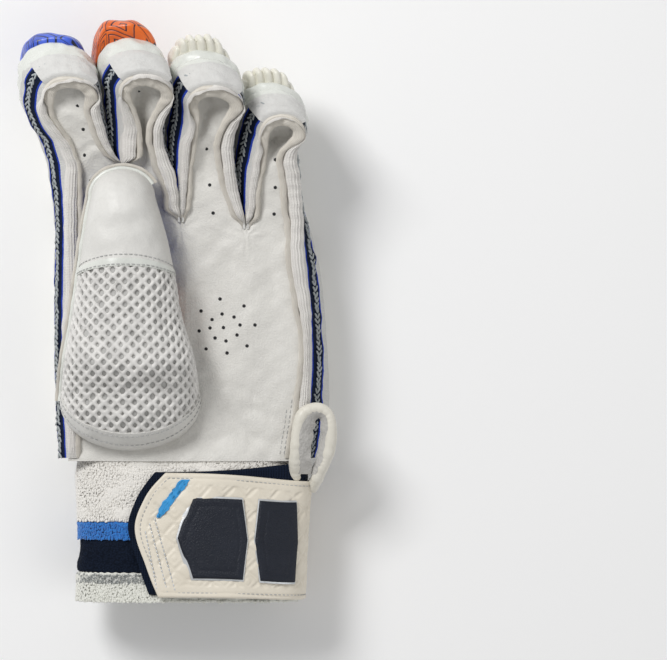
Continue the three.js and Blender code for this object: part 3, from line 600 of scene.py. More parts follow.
def keyMaterial(name, colour, shade, ink, tile=13.0, line=0.62, rings=4):
    # Square spirals in tiles turned by 45 degrees. Inside a tile the lines lie where the square
    # distance from its middle is a whole number of steps; below the middle the centre moves by
    # half a step, which winds the squares into one spiral. Every other tile is turned over.
    m = Nodes(name, colour, 0.36, Coat_Weight=0.35, Coat_Roughness=0.25)
    along, across = m.uvPlace()
    root = 0.5**0.5
    a = m.calc("MULTIPLY", m.calc("ADD", along, across), root)
    b = m.calc("MULTIPLY", m.calc("SUBTRACT", across, along), root)
    wobble = m.noise(9, 2)
    a = m.calc("ADD", a, m.calc("MULTIPLY", wobble, 0.9))
    cellA, cellB = m.calc("FLOOR", m.calc("DIVIDE", a, tile)), m.calc("FLOOR", m.calc("DIVIDE", b, tile))
    odd = m.calc("PINGPONG", m.calc("ADD", cellA, cellB), 1.0)
    inA = m.calc("SUBTRACT", m.calc("FLOORED_MODULO", a, tile), tile / 2)
    inB = m.calc("SUBTRACT", m.calc("FLOORED_MODULO", b, tile), tile / 2)
    even = m.calc("SUBTRACT", 1.0, odd)
    swapA = m.calc("ADD", m.calc("MULTIPLY", inA, even), m.calc("MULTIPLY", inB, odd))
    swapB = m.calc("ADD", m.calc("MULTIPLY", inB, even), m.calc("MULTIPLY", inA, odd))
    step = tile / rings
    below = m.calc("LESS_THAN", swapB, 0.0)
    moved = m.calc("SUBTRACT", swapA, m.calc("MULTIPLY", below, step / 2))
    square = m.calc("MAXIMUM", m.calc("ABSOLUTE", moved), m.calc("ABSOLUTE", swapB))
    phase = m.calc("SUBTRACT", m.calc("DIVIDE", square, step), m.calc("MULTIPLY", below, 0.5))
    away = m.calc("MULTIPLY", m.calc("PINGPONG", phase, 0.5), step)
    inked = m.step(away, line * 0.42, line * 0.62, (1.0, 0.0))
    tone = m.mix(m.step(m.noise(12, 3), 0.4, 0.65), colour, shade)
    m.paint(m.mix(inked, tone, ink))
    m.addRelief(m.step(away, line * 0.3, line * 1.3), 0.22)
    m.addRelief(m.cells(0.7), 0.05)
    m.addRelief(m.noise(6, 4), 0.35)
    return m


def ribbonMaterial(name, spec):
    # Side tape: across its width a blue edge, navy, and a blue edge; white cloth on both sides
    m = Nodes(name, spec["navy"], 0.9, Specular_IOR_Level=0.12)
    along, across = m.uvPlace()
    fuzz = m.calc("MULTIPLY_ADD", m.noise(0.7, 3), 0.5, -0.25)
    middle = m.calc("ADD", m.calc("ABSOLUTE", across), fuzz)
    fleck = m.step(m.noise(0.9, 2), 0.58, 0.72)
    woven = m.mix(fleck, spec["navy"], spec["fleck"])
    woven = m.mix(m.step(middle, spec["blueFrom"] - 0.1, spec["blueFrom"] + 0.1), woven, spec["blue"])
    cloth = m.step(middle, spec["blueTo"] - 0.1, spec["blueTo"] + 0.1)
    m.paint(m.mix(cloth, woven, spec["white"]))
    weave = m.calc("SINE", m.calc("MULTIPLY", along, 2 * np.pi / 0.8))
    rib = m.calc("SINE", m.calc("MULTIPLY", across, 2 * np.pi / 1.0))
    m.addRelief(m.calc("MULTIPLY_ADD", weave, 0.5, 0.5), 0.14)
    m.addRelief(m.calc("MULTIPLY_ADD", rib, 0.5, 0.5), 0.2)
    m.addRelief(m.noise(0.6, 3), 0.25)
    return m


def plainMaterial(name, colour, roughness, grain=0.5, depth=0.05, **sockets):
    m = Nodes(name, colour, roughness, **sockets)
    shade = tuple(c * 0.82 for c in colour)
    m.paint(m.mix(m.step(m.noise(6, 4), 0.4, 0.7), colour, shade))
    m.addRelief(m.noise(grain, 3), depth)
    return m


colours = {
    "leather": (0.72, 0.705, 0.665), "leatherShade": (0.64, 0.625, 0.59),
    "cream": (0.79, 0.775, 0.69), "creamShade": (0.72, 0.70, 0.61),
    "white": (0.73, 0.745, 0.70), "whiteShade": (0.66, 0.675, 0.635),
    # the knit and tape shade colours are painted shade in the rib grooves as well as random tone
    "knit": (0.78, 0.755, 0.72), "knitShade": (0.66, 0.635, 0.60),
    "tape": (0.73, 0.69, 0.62), "tapeShade": (0.56, 0.52, 0.45),
    "blue": (0.055, 0.125, 0.66), "blueShade": (0.04, 0.09, 0.5),
    "orange": (0.80, 0.150, 0.014), "orangeShade": (0.66, 0.105, 0.01),
    "ink": (0.006, 0.008, 0.03), "navy": (0.008, 0.014, 0.036),
    "ribbonBlue": (0.022, 0.06, 0.46), "bandBlue": (0.022, 0.20, 0.60),
}
materials = {
    "leather": leatherMaterial("palm leather", colours["leather"], colours["leatherShade"],
                               0.52, 0.85, 0.16, 0.12),
    "tab": leatherMaterial("tab leather", (0.68, 0.675, 0.655), (0.58, 0.575, 0.56), 0.55,
                           0.8, 0.16, 0.2),
    "thumb": leatherMaterial("thumb leather", (0.72, 0.71, 0.68), (0.65, 0.64, 0.61), 0.48,
                             0.7, 0.09, 0.14),
    "band": leatherMaterial("tip band coated cloth", colours["white"], colours["whiteShade"],
                            0.3, 1.2, 0.03, 0.15, Coat_Weight=0.3, Coat_Roughness=0.2),
    "cream": leatherMaterial("roll coated cloth", colours["cream"], colours["creamShade"],
                             0.36, 1.0, 0.05, 0.2, Coat_Weight=0.2, Coat_Roughness=0.25),
    "loop": leatherMaterial("loop coated cloth", (0.78, 0.75, 0.67), (0.68, 0.65, 0.57), 0.42,
                            0.9, 0.06, 0.3),
    "strap": leatherMaterial("strap coated cloth", (0.79, 0.73, 0.62), (0.72, 0.66, 0.55),
                             0.48, 0.8, 0.06, 0.1),
    "panel": leatherMaterial("strap panel", (0.010, 0.013, 0.022), (0.016, 0.02, 0.032), 0.42,
                             0.8, 0.2, Specular_IOR_Level=0.3),
    "suede": leatherMaterial("loop lining", (0.56, 0.545, 0.52), (0.42, 0.41, 0.39), 0.9, 1.5,
                             0.3, 0.4),
    "blue": keyMaterial("blue key pattern", colours["blue"], colours["blueShade"], colours["ink"]),
    "orange": keyMaterial("orange key pattern", colours["orange"], colours["orangeShade"],
                          colours["ink"]),
    # The rib materials below paint shade into their rib grooves
    "knit": ribMaterial("ribbed edge knit", colours["knit"], colours["knitShade"]),
    "tape": ribMaterial("edge tape", colours["tape"], colours["tapeShade"], 0.55, 0.16),
    "backCloth": ribMaterial("back cloth", (0.78, 0.77, 0.73), (0.62, 0.61, 0.57), 1.4, 0.2),
    "elastic": ribMaterial("elastic", (0.007, 0.013, 0.030), (0.004, 0.007, 0.016), 1.3, 0.35,
                           Specular_IOR_Level=0.12),
    # The wool materials below paint shade into the gaps between their loops
    "terry": woolMaterial("white terry", (0.84, 0.815, 0.77), (0.78, 0.755, 0.71), 0.9, 0.15),
    "bandBlue": woolMaterial("blue terry", colours["bandBlue"], (0.022, 0.14, 0.46), 0.9, 0.15),
    "navyBand": woolMaterial("navy rib", (0.007, 0.012, 0.026), (0.004, 0.007, 0.015), 1.0,
                             0.4, Specular_IOR_Level=0.12),
    "hem": woolMaterial("off-white terry", (0.80, 0.80, 0.74), (0.72, 0.72, 0.66), 0.9, 0.15),
    "chain": plainMaterial("chain thread", (0.40, 0.43, 0.44), 0.85, 0.6, 0.2),
    "greyHem": woolMaterial("grey heather terry", (0.36, 0.375, 0.36), (0.20, 0.21, 0.205),
                            0.9, 0.3, fleck=(0.6, 0.6, 0.57)),
    "greyThread": plainMaterial("grey thread", (0.50, 0.50, 0.49), 0.7),
    "silver": plainMaterial("silver thread", (0.72, 0.74, 0.76), 0.35, Metallic=0.6),
    "mesh": plainMaterial("mesh thread", (0.75, 0.735, 0.71), 0.75, 0.6, 0.12, Sheen_Weight=0.2),
    "backing": plainMaterial("mesh backing", (0.50, 0.495, 0.48), 0.9, 0.7, 0.2),
    # near-black: painted shade for the inside of the punched holes
    "hole": plainMaterial("punched hole", (0.02, 0.02, 0.022), 0.9),
    "lining": plainMaterial("hand lining", (0.62, 0.61, 0.59), 0.9, 0.8, 0.2),
    "flash": plainMaterial("blue flash", (0.03, 0.33, 0.74), 0.45, 0.5, 0.2),
}
materials["ribbon"] = ribbonMaterial("side tape", {
    "blueFrom": 4.9, "blueTo": 6.2, "navy": colours["navy"], "fleck": (0.02, 0.03, 0.06),
    "blue": colours["ribbonBlue"], "white": (0.68, 0.675, 0.655),
})
print("materials made:", len(materials))


def finishPiece(piece, material, nodes):
    piece.data.materials.append(materials[material].material)
    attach(piece, "root")
    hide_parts(*nodes)
    return piece


# Camera and lights

camera = {"distance": 2.5, "pixel": 0.0005, "frame": 667, "aimX": 0.0782, "aimY": -0.0089, "aimZ": 0.040}
cameraData = bpy.data.cameras.new("camera")
cameraData.lens = 36 * camera["distance"] / (camera["frame"] * camera["pixel"])
cameraData.clip_end = 20
cameraObject = bpy.data.objects.new("camera", cameraData)
cameraObject.location = (camera["aimX"], camera["aimY"], camera["aimZ"] + camera["distance"])
bpy.context.scene.collection.objects.link(cameraObject)
bpy.context.scene.camera = cameraObject

lights = {
    "key": {"place": (-0.7, 0.8, 1.15), "size": 0.55, "power": 16},
    "fill": {"place": (1.1, -0.6, 1.0), "size": 1.2, "power": 4},
}
for name, spec in lights.items():
    lamp = bpy.data.lights.new(name, "AREA")
    lamp.energy, lamp.size = spec["power"], spec["size"]
    lampObject = bpy.data.objects.new(name, lamp)
    lampObject.location = spec["place"]
    backwards = Vector(spec["place"]) - Vector((0, 0, camera["aimZ"]))
    lampObject.rotation_euler = backwards.to_track_quat("Z", "Y").to_euler()
    bpy.context.scene.collection.objects.link(lampObject)
world = bpy.data.worlds.new("studio")
world.use_nodes = True
world.node_tree.nodes["Background"].inputs[0].default_value = (1, 1, 1, 1)
world.node_tree.nodes["Background"].inputs[1].default_value = 0.40
bpy.context.scene.world = world
bpy.context.scene.view_settings.view_transform = "Standard"

floorMesh = bpy.data.meshes.new("floor")
floorMesh.from_pydata([(-4, -4, 0), (4, -4, 0), (4, 4, 0), (-4, 4, 0)], [], [(0, 1, 2, 3)])
floor = bpy.data.objects.new("floor", floorMesh)
floorMesh.materials.append(Nodes("floor", (0.95, 0.95, 0.95), 0.9).material)
bpy.context.scene.collection.objects.link(floor)


# Cuff surface, used by the palm's lower edge, the cuff and the straps

cuffEnds = {
    "along": [0, 0.35, 0.7, 1], "left": [-47, -46, -46.5, -47.5], "right": [58, 57, 57, 57],
    "low": [12, 11, 11, 12], "high": [44, 43, 42, 41],
}
cuffRange = (1.5, 73)


def cuffPoint(turn, y, out):
    # Oval x = middle + a sgn(cos)|cos|^0.75, z = middle + b sgn(sin)|sin|^0.75, grown by out
    along = (y - cuffRange[0]) / (cuffRange[1] - cuffRange[0])
    left, right, low, high = (column(cuffEnds, k, along) for k in ("left", "right", "low", "high"))
    angle = np.pi - 2 * np.pi * turn
    power = lambda t: np.sign(t) * np.abs(t) ** 0.75
    return np.stack(np.broadcast_arrays(
        (right + left) / 2 + ((right - left) / 2 + out) * power(np.cos(angle)),
        y,
        (high + low) / 2 + ((high - low) / 2 + out) * power(np.sin(angle)),
    ), axis=-1)


def cuffTurn(x, y, out):
    # The turn at which the palm side of the oval has that x
    along = (y - cuffRange[0]) / (cuffRange[1] - cuffRange[0])
    left, right = column(cuffEnds, "left", along), column(cuffEnds, "right", along)
    share = np.clip((x - (right + left) / 2) / ((right - left) / 2 + out), -1, 1)
    return (np.pi - np.arccos(np.sign(share) * np.abs(share) ** (1 / 0.75))) / (2 * np.pi)


ovalTurns = np.linspace(0, 1, 2001)
ovalArc = arcLength(cuffPoint(ovalTurns, np.full(2001, 34.0), 7.5))
strapEnd = {"along": [0, 0.25, 0.55, 0.8, 1], "turn": [0.224, 0.208, 0.193, 0.208, 0.232]}


# Palm leather

palm = {
    "columns": 34, "palmRows": 96, "fingerRows": 62, "thickness": 1.5,
    "hole": {"from": 0.12, "to": 0.37, "inFromLeft": 0.3, "inFromRight": 0.68},
    "hollow": {"x": -24, "y": 164, "halfWidth": 31, "halfLength": 66, "depth": 0.42},
}
folds = [  # finger, along, across, length, width, depth, as in the part
    (0, 0.8, -0.1, 0.25, 0.4, 0.14), (1, 0.58, -0.13, 0.36, 0.26, 0.3), (1, 0.2, -0.08, 0.26, 0.3, 0.12),
    (2, 0.75, -0.06, 0.2, 0.34, 0.24), (2, 0.4, -0.12, 0.26, 0.26, 0.12), (3, 0.72, -0.06, 0.2, 0.3, 0.2),
]
creases = [  # finger, start (along, across), end (along, across), width in mm, depth in mm
    (0, (0.86, -0.55), (0.5, 0.2), 2.2, 0.9), (0, (0.3, 0.3), (0.12, -0.15), 2.0, 0.7),
    (1, (0.86, -0.3), (0.62, 0.15), 1.8, 1.6), (1, (0.66, -0.25), (0.36, 0.0), 1.6, 1.1),
    (2, (0.62, -0.3), (0.82, 0.38), 1.5, 2.2), (2, (0.72, -0.35), (0.5, 0.02), 1.6, 1.0),
    (2, (0.86, -0.25), (0.74, 0.3), 1.3, 1.2),
    (3, (0.6, -0.3), (0.8, 0.3), 1.5, 1.8), (3, (0.74, -0.25), (0.7, 0.3), 1.3, 1.2),
]
pockets = [  # finger, along, across, length, width, depth in mm: hollows behind the finger's end
    (0, 0.84, 0.0, 0.16, 0.4, 3.2), (1, 0.79, 0.0, 0.16, 0.3, 4.5), (2, 0.86, 0.05, 0.13, 0.34, 5.0),
    (3, 0.82, 0.08, 0.15, 0.3, 4.6),
]
palmCreases = [  # start x, y, end x, y, width, depth
    (-14, 182, 6, 172, 3.2, 0.8), (12, 176, 34, 170, 3.0, 0.6), (8, 152, 16, 112, 5.0, 1.1),
    (14, 118, 30, 92, 4.0, 1.1), (30, 100, 52, 92, 3.5, 0.9), (-40, 196, -30, 182, 3.0, 0.7),
    (20, 96, 46, 82, 3.0, 0.9), (44, 178, 52, 150, 3.0, 0.6), (18, 110, 44, 104, 2.6, 0.7),
    (36, 84, 54, 78, 2.4, 0.6), (2, 88, 26, 80, 3.0, 0.8), (-60, 82, -40, 76, 2.6, 0.8),
]


def valley(x, y, start, end, width, depth):
    # A crease along a line: depth exp(-(d/width)^2), fading towards both ends
    run = np.subtract(end, start)
    length = np.hypot(*run)
    share = ((x - start[0]) * run[0] + (y - start[1]) * run[1]) / length**2
    away = ((x - start[0]) * run[1] - (y - start[1]) * run[0]) / length
    away = away + 1.6 * np.sin(share * 5 + start[0])
    fade = np.exp(-np.maximum(0, np.abs(share - 0.5) * 2 - 0.5) ** 2 * 6)
    return depth * np.exp(-((away / width) ** 2)) * fade


def palmBase(x, y):
    # The part's own palm height: flat, less the thumb's hollow and the folds
    hollow = palm["hollow"]
    share = hollow["depth"] * bump((y - hollow["y"]) / hollow["halfLength"]) \
        * bump((x - hollow["x"]) / hollow["halfWidth"])
    for order, along, across, length, width, depth in folds:
        finger = fingers[order]
        beside = (x - axisOf(finger, y)) / hand["fingerWidth"] - across
        share = share + depth * bump((alongOf(finger, y) - along) / length) * bump(beside / width)
    return hand["palmTop"] - share * hand["depth"]


def palmHeight(x, y):
    # The base with creases, soft waves and a lower edge that lies over the cuff
    h = palmBase(x, y)
    for order, start, end, width, depth in creases:
        finger = fingers[order]
        ends = [(axisOf(finger, lerp(finger["root"][1], finger["end"][1], a)) + s * hand["fingerWidth"],
                 lerp(finger["root"][1], finger["end"][1], a)) for a, s in (start, end)]
        h = h - valley(x, y, *ends, width, depth)
    for order, along, across, length, width, depth in pockets:
        finger = fingers[order]
        beside = (x - axisOf(finger, y)) / hand["fingerWidth"] - across
        hollow = np.exp(-((alongOf(finger, y) - along) / length) ** 2 - (beside / width) ** 4)
        h = h - hollow * (depth + 0.7 * ripple(flat(x, y * 0.6), 7, 30 + order))
    for x0, y0, x1, y1, width, depth in palmCreases:
        h = h - valley(x, y, (x0, y0), (x1, y1), width, depth)
    for web in webs[1:-1]:
        away = np.hypot(x - web["x"], y - web["y"] + 4)
        turn = np.arctan2(y - web["y"] + 4, x - web["x"])
        h = h + 0.45 * np.sin(turn * 9) * np.exp(-away / 9) * smooth(away / 5)
    place = flat(x, y)
    h = h + 0.32 * ripple(place, 20, 3) + 0.12 * ripple(place, 7, 4) + 0.05 * ripple(place, 3, 5)
    turn = cuffTurn(x, 73.0, 0)
    lift = np.maximum(0, cuffPoint(turn, 73.0, 1.4)[..., 2] + 1.5 - hand["palmTop"])
    return h + lift * smooth((86 - y) / 14)


def palmLeather():
    points, quads, count = [], [], 0
    hole = palm["hole"]
    for finger in fingers:
        for part, rows in ((palmPoint, palm["palmRows"]), (fingerPoint, palm["fingerRows"])):
            u, v = paramGrid(palm["columns"], rows)
            x, y = part(finger, "outer", u, v)
            if part is palmPoint:  # the lower edge reaches down over the cuff
                y = y - 1.6 * smooth((80 - y) / 7)
            patch = curl(x, y, palmHeight(x, y))
            index = gridQuads(rows + 1, palm["columns"] + 1)
            if part is palmPoint:
                midU, midV = u.ravel()[index].mean(axis=1), v.ravel()[index].mean(axis=1)
                cut = (midV > hole["from"]) & (midV < hole["to"])
                order = finger["order"]
                if order == 0:
                    cut &= midU > hole["inFromLeft"]
                else:
                    cut &= (midU < hole["inFromRight"]) & (order == 1)
                index = index[~cut]
            points.append(patch.reshape(-1, 3))
            quads.append(index + count)
            count += patch.shape[0] * patch.shape[1]
    points, quads = np.vstack(points), np.vstack(quads)
    _, first, joined = np.unique(np.round(points, 3), axis=0, return_index=True, return_inverse=True)
    quads = joined.reshape(-1)[quads]
    used, quads = np.unique(quads, return_inverse=True)
    return points[first][used], quads.reshape(-1, 4)


leatherPoints, leatherQuads = palmLeather()
finishPiece(sheetPiece("palm_skin", leatherPoints, palm["thickness"], quads=leatherQuads),
            "leather", ["palm_leather"])


def onPalm(x, y):
    # A point of the palm and its normal, from differences over half a millimetre
    step = 0.5
    centre = curl(x, y, palmHeight(x, y))
    right = curl(x + step, y, palmHeight(x + step, y))
    ahead = curl(x, y + step, palmHeight(x, y + step))
    return centre, unit(np.cross(right - centre, ahead - centre))


vents = {  # punched holes: the group in the palm, and those along each finger
    "palm": [(22.5, 153), (13, 147), (34.5, 149.5), (23.5, 145.5), (29.5, 144), (18.5, 142.7),
             (17.5, 138.5), (24.2, 138.7), (32.5, 140), (40, 140), (12, 137), (20, 133.5),
             (31, 135), (25.5, 132), (15.5, 128), (36, 129.5), (26, 126)],
    "fingers": [(-47.5, 250), (-45.5, 238.5), (-45, 225), (-42, 212), (-15, 255), (16.5, 228), (17.5, 210),
                (19, 196), (50.5, 223), (50, 209), (49.5, 195.5)],
    "radius": 0.95,
}
ventX, ventY = np.array(vents["palm"] + vents["fingers"], float).T
ventPlace, ventUp = onPalm(ventX, ventY)
ventAlong = unit(np.cross(ventUp, np.array([0.0, 1.0, 0.0])))
# Each hole is a flat near-black disc on the uncut leather: painted shade where the inside of the hole would
# be
finishPiece(joinBeads("palm_vent_shade_discs", [beads(ventPlace + ventUp * 0.02, ventUp, ventAlong, 0.24,
                                           vents["radius"], vents["radius"])]),
            "hole", ["palm_leather"])


def palmRow(fromEdge, low, high):
    # A line up the palm beside the little finger's edge strip
    y = np.linspace(low, high, 80)
    return onPalm(edgeX(fingers[3], "inner", "Right", y) - fromEdge, y)


edgeRows = [palmRow(1.6, 75, 103), palmRow(3.6, 75, 97)]
finishPiece(stitches("palm_edge_stitches", edgeRows, 2.6, 1.7, 0.24, 0.18), "greyThread",
            ["palm_leather"])
print("palm made")


# Edge strips: a tape beside the leather and a ribbed knit strip out to the finger's side

strip = {"low": 40.0, "tapeWidth": 2.3, "tapeHigh": 2.7, "knitHigh": 3.1, "ribs": 5, "profile": 30}


def edgeStrip(finger, part):
    # Profile from inner to outer edge: h = low + high swell(2v - 1)^0.7, closed below by a flat side
    innerX, innerY = outline(finger, "inner")
    outerX, outerY = outline(finger, "outer")
    mask, _ = archMask(finger)
    width = np.hypot(outerX - innerX, outerY - innerY)
    path = curl((innerX + outerX) / 2, (innerY + outerY) / 2, np.full_like(innerX, 42.0))
    arc = arcLength(path)
    share = np.minimum(1, lerp(strip["tapeWidth"] / np.maximum(width, 0.1), 1, mask))
    start, stop = (-0.1, share) if part == "tape" else (share - 0.06, 1.06)
    start, stop = np.broadcast_to(start, share.shape), np.broadcast_to(stop, share.shape)
    if part == "knit":
        stop = np.maximum(stop - 0.12 * mask, start + 0.04)
    n = strip["profile"]
    v = spread(np.linspace(0, 1, n))
    seed = finger["order"] * 10 + (part == "tape")
    tuck = smooth(np.minimum(arc, arc[-1] - arc) / 5)
    scale = clamp01(lerp(0.3, 1, width / 5.5)) * lerp(0.3, 1, tuck)
    high = (strip["tapeHigh"] if part == "tape" else strip["knitHigh"]) * scale
    wave = 1 + 0.1 * ripple(path, 24, seed) + lerp(0.04, 0.1, mask) * ripple(path, 4.5, seed + 1)
    arch = swell(2 * v - 1) ** 0.7
    ribs = 0 if part == "tape" else 0.22 * np.abs(np.sin(np.pi * v * strip["ribs"])) ** 0.6
    topH = strip["low"] + (high * wave)[:, None] * (arch * (0.9 + ribs))[None]
    if part == "knit":  # the strip rolls down over the finger's side
        topH = topH - 1.6 * (v ** 3)[None] * (1 - mask)[:, None]
    along = lerp(start[:, None], stop[:, None], v[None])
    side = 0.4 * ripple(path, 22, seed + 2) + 0.12 * ripple(path, 6, seed + 3)
    along = along + (side / np.maximum(width, 3))[:, None]
    back = np.linspace(1, 0, 8)[1:-1]
    lowH = np.full((len(width), len(back)), strip["low"] - (1.8 if part == "knit" else 0.4))
    alongs = np.hstack([along, lerp(start[:, None], stop[:, None], back[None])])
    h = np.hstack([topH, lowH])
    x = lerp(innerX[:, None], outerX[:, None], alongs)
    y = lerp(innerY[:, None], outerY[:, None], alongs)
    across = np.concatenate([v, back]) * (4.2 if part == "tape" else 4.5)
    uv = np.stack(np.broadcast_arrays(arc[:, None], across[None]), axis=-1)
    name = "tape" if part == "tape" else "ribbed_strip"
    return loftPiece(f"{finger['name']}_{name}", curl(x, y, h), uv)


for finger in fingers:
    node = [f"{finger['name']}_binding"]
    finishPiece(edgeStrip(finger, "tape"), "tape", node)
    finishPiece(edgeStrip(finger, "knit"), "knit", node)
print("edge strips made")


# Side walls of the fingers, with the woven tape

wall = {"low": 15.6, "high": 41.0, "rows": 26, "leftBulge": 4.4, "rightBulge": 2.4, "thickness": -1.0,
        "ribbonRow": 18}
link = {"pitch": 2.7, "length": 3.3, "radius": 0.56, "height": 0.5, "apart": 1.05, "slant": 0.7}


def sideWall(finger):
    # Between the outlines of back and palm, pushed out by bulge sin(pi v)^0.8 and soft waves
    v = np.linspace(0, 1, wall["rows"] + 1)
    heights = lerp(wall["low"], wall["high"], v)
    _, left = archMask(finger)
    past = np.arange(len(outline(finger, "outer")[0])) - left
    bulge = lerp(wall["leftBulge"], wall["rightBulge"], smooth(past / outlineSteps["arch"]))
    rows = []
    for share, h in zip(v, heights):
        x, y = sideOutline(finger, h)
        puff = bulge * np.sin(np.pi * share) ** 0.8 - 0.8 * share
        place = flat(x, y) + [0, 0, h]
        reach = np.minimum(1, 0.25 + webRoom(finger, y) / 12)
        soft = 0.25 * ripple(place, 9, 70 + finger["order"]) * np.sin(np.pi * share)
        x, y = pushOut(x, y, puff * reach + soft)
        rows.append(curl(x, y, np.full_like(x, h)))
    grid = np.stack(rows)
    arc = arcLength(grid[wall["rows"] // 2])
    across = arcAcross(grid)
    uv = np.stack(np.broadcast_arrays(arc[None], across - across[wall["ribbonRow"]]), axis=-1)
    middle = wall["ribbonRow"]
    return (sheetPiece(f"{finger['name']}_side_wall", grid, wall["thickness"], uv),
            grid[middle], grid[middle + 2] - grid[middle - 2])


def chain(finger, path, climb):
    # Two rows of slanted beads along the middle of the ribbon, like a crocheted chain
    h = float(lerp(wall["low"], wall["high"], wall["ribbonRow"] / wall["rows"]))
    x, y = sideOutline(finger, h)
    outX, outY = pushOut(x, y, 1.0)
    outward = curl(outX, outY, h) - curl(x, y, h)
    normals = unit(np.cross(np.gradient(path, axis=0), climb))
    outward = normals * np.sign(np.einsum("ij,ij->i", normals, outward))[:, None]
    arc = arcLength(path)
    at = np.arange(1.4, arc[-1] - 1, link["pitch"])
    centre, up = resample(path, arc, at), unit(resample(outward, arc, at))
    ahead = unit(resample(path, arc, at + 0.5) - resample(path, arc, at - 0.5))
    side = unit(np.cross(up, ahead))
    up = np.cross(ahead, side)
    random = np.random.default_rng(finger["order"] + 5)
    parts = []
    for sign in (-1, 1):
        wobble = 0.22 * random.normal(size=(len(at), 2))
        place = centre + side * (sign * link["apart"] + wobble[:, :1]) + up * 0.3 + ahead * wobble[:, 1:]
        slant = unit(ahead - side * (sign * link["slant"] + wobble[:, :1]))
        parts.append(beads(place, slant, up, link["length"], link["radius"], link["height"]))
    return joinBeads(f"{finger['name']}_side_chain", parts)


def webRoom(finger, y):
    # How far past its webs a point of the outline lies, in mm; sides without a web count as free
    n = len(y) // 2
    left = np.full(n, 99.0) if "side" in finger["Left"] else y[:n] - finger["Left"]["y"]
    right = np.full(len(y) - n, 99.0) if "side" in finger["Right"] else y[n:] - finger["Right"]["y"]
    return np.maximum(0, np.concatenate([left, right]))


def arcAcross(grid):
    # Length down each column of the grid from the palm side, in mm
    steps = np.linalg.norm(np.diff(grid[::-1], axis=0), axis=-1)
    return np.vstack([np.zeros((1, grid.shape[1])), np.cumsum(steps, axis=0)])[::-1]


for finger in fingers:
    wallPiece, ribbonPath, climb = sideWall(finger)
    finishPiece(wallPiece, "ribbon", [f"{finger['name']}_gusset"])
    finishPiece(chain(finger, ribbonPath, climb), "chain", [f"{finger['name']}_gusset"])
print("side walls made")


# Fingertips

def wrapPiece(name, finger, low, high, drop, clear, thickness, wave=0.2, rows=26):
    # Round the finger's end between two heights, out to clear + thickness(s, t); drop leaves out
    # that many steps of the sides at both ends of the run
    _, left = archMask(finger)
    first = left - outlineSteps["side"] + drop
    last = left + outlineSteps["arch"] + outlineSteps["side"] - drop
    t = np.linspace(0, 1, rows + 1)
    outside, inside = [], []
    for share, h in zip(t, lerp(low, high, t)):
        x, y = sideOutline(finger, h)
        s = np.linspace(0, 1, last - first + 1)
        outX, outY = pushOut(x, y, 1.0)
        stepX, stepY = (outX - x)[first:last + 1], (outY - y)[first:last + 1]
        x, y = x[first:last + 1], y[first:last + 1]
        place = flat(x, y) + [0, 0, h]
        away = clear + thickness(s, share) + wave * ripple(place, 6, finger["order"] + 40)
        outside.append(curl(x + stepX * away, y + stepY * away, np.full_like(x, h)))
        inside.append(curl(x + stepX * clear * 0.3, y + stepY * clear * 0.3, np.full_like(x, h)))
    outside, inside = np.stack(outside), np.stack(inside)
    return betweenPiece(name, outside, inside)


tipBand = {"low": 14.6, "high": 29.5, "drop": 12}
tab = {"low": 25.8, "high": 40.2, "drop": 62}
ridges = {"index": 0, "middle": 0, "ring": 1.1, "little": 1.1}
for finger in fingers:
    name = finger["name"]

    def bandThick(s, t):
        edge = swell(2 * s - 1) ** 0.5 * swell(2 * t - 1) ** 0.45
        folds = ridges[name] * (np.abs(np.cos(np.pi * 2 * (t - 0.25))) - 0.5)
        return edge * (1.0 + 2.8 * np.sin(np.pi * s) ** 2 * (1 - 0.35 * t) + folds)

    def tabThick(s, t):
        lifted = 0.5 * np.exp(-s * 9) + 0.4 * np.exp(-(1 - s) * 9)
        return 0.9 + 1.5 * (swell(2 * t - 1) ** 0.35) + 1.3 * (1 - t) + lifted

    finishPiece(wrapPiece(f"{name}_coated_band", finger, tipBand["low"], tipBand["high"], tipBand["drop"],
                          0.6, bandThick), "band", [f"{name}_tip_band"])
    finishPiece(wrapPiece(f"{name}_end_tab", finger, tab["low"], tab["high"], tab["drop"],
                          0.9, tabThick, 0.14), "tab", [f"{name}_tab"])


# Padded rolls under the back

def backPoint(finger, u, t):
    # Pattern point from wrist (0) over the roots (1) to the finger's end (2), 5% in from the sides
    inside = np.arccos(0.95 * np.cos(np.pi * u)) / np.pi
    palmX, palmY = palmPoint(finger, "back", inside, np.minimum(t, 1))
    fingerXs, fingerYs = fingerPoint(finger, "back", inside, np.maximum(t - 1, 0))
    return np.where(t <= 1, palmX, fingerXs), np.where(t <= 1, palmY, fingerYs)


def rollPiece(name, finger, start, stop, columns=30, rows=44):
    # Depth below the flat side: (rollDepth - 3) side end + 3 at the rim, with soft dents
    u, v = paramGrid(columns, rows)
    x, y = backPoint(finger, u, lerp(start, stop, v))
    side = np.minimum(1, 1.2 * swell(2 * spread(u) - 1))
    end = np.minimum(1, 1.2 * swell(2 * v - 1))
    dent = 0.35 * ripple(flat(x, y), 14, 90) * side * end * (side * end < 0.98)
    low = (hand["rollDepth"] - 3) * (1 - side * end) + dent
    flatTop = curl(x, y, np.full_like(x, hand["rollDepth"] - 0.05))
    uv = np.stack([x, y], axis=-1)
    return betweenPiece(name, flatTop, curl(x, y, np.maximum(low, 0)), uv)


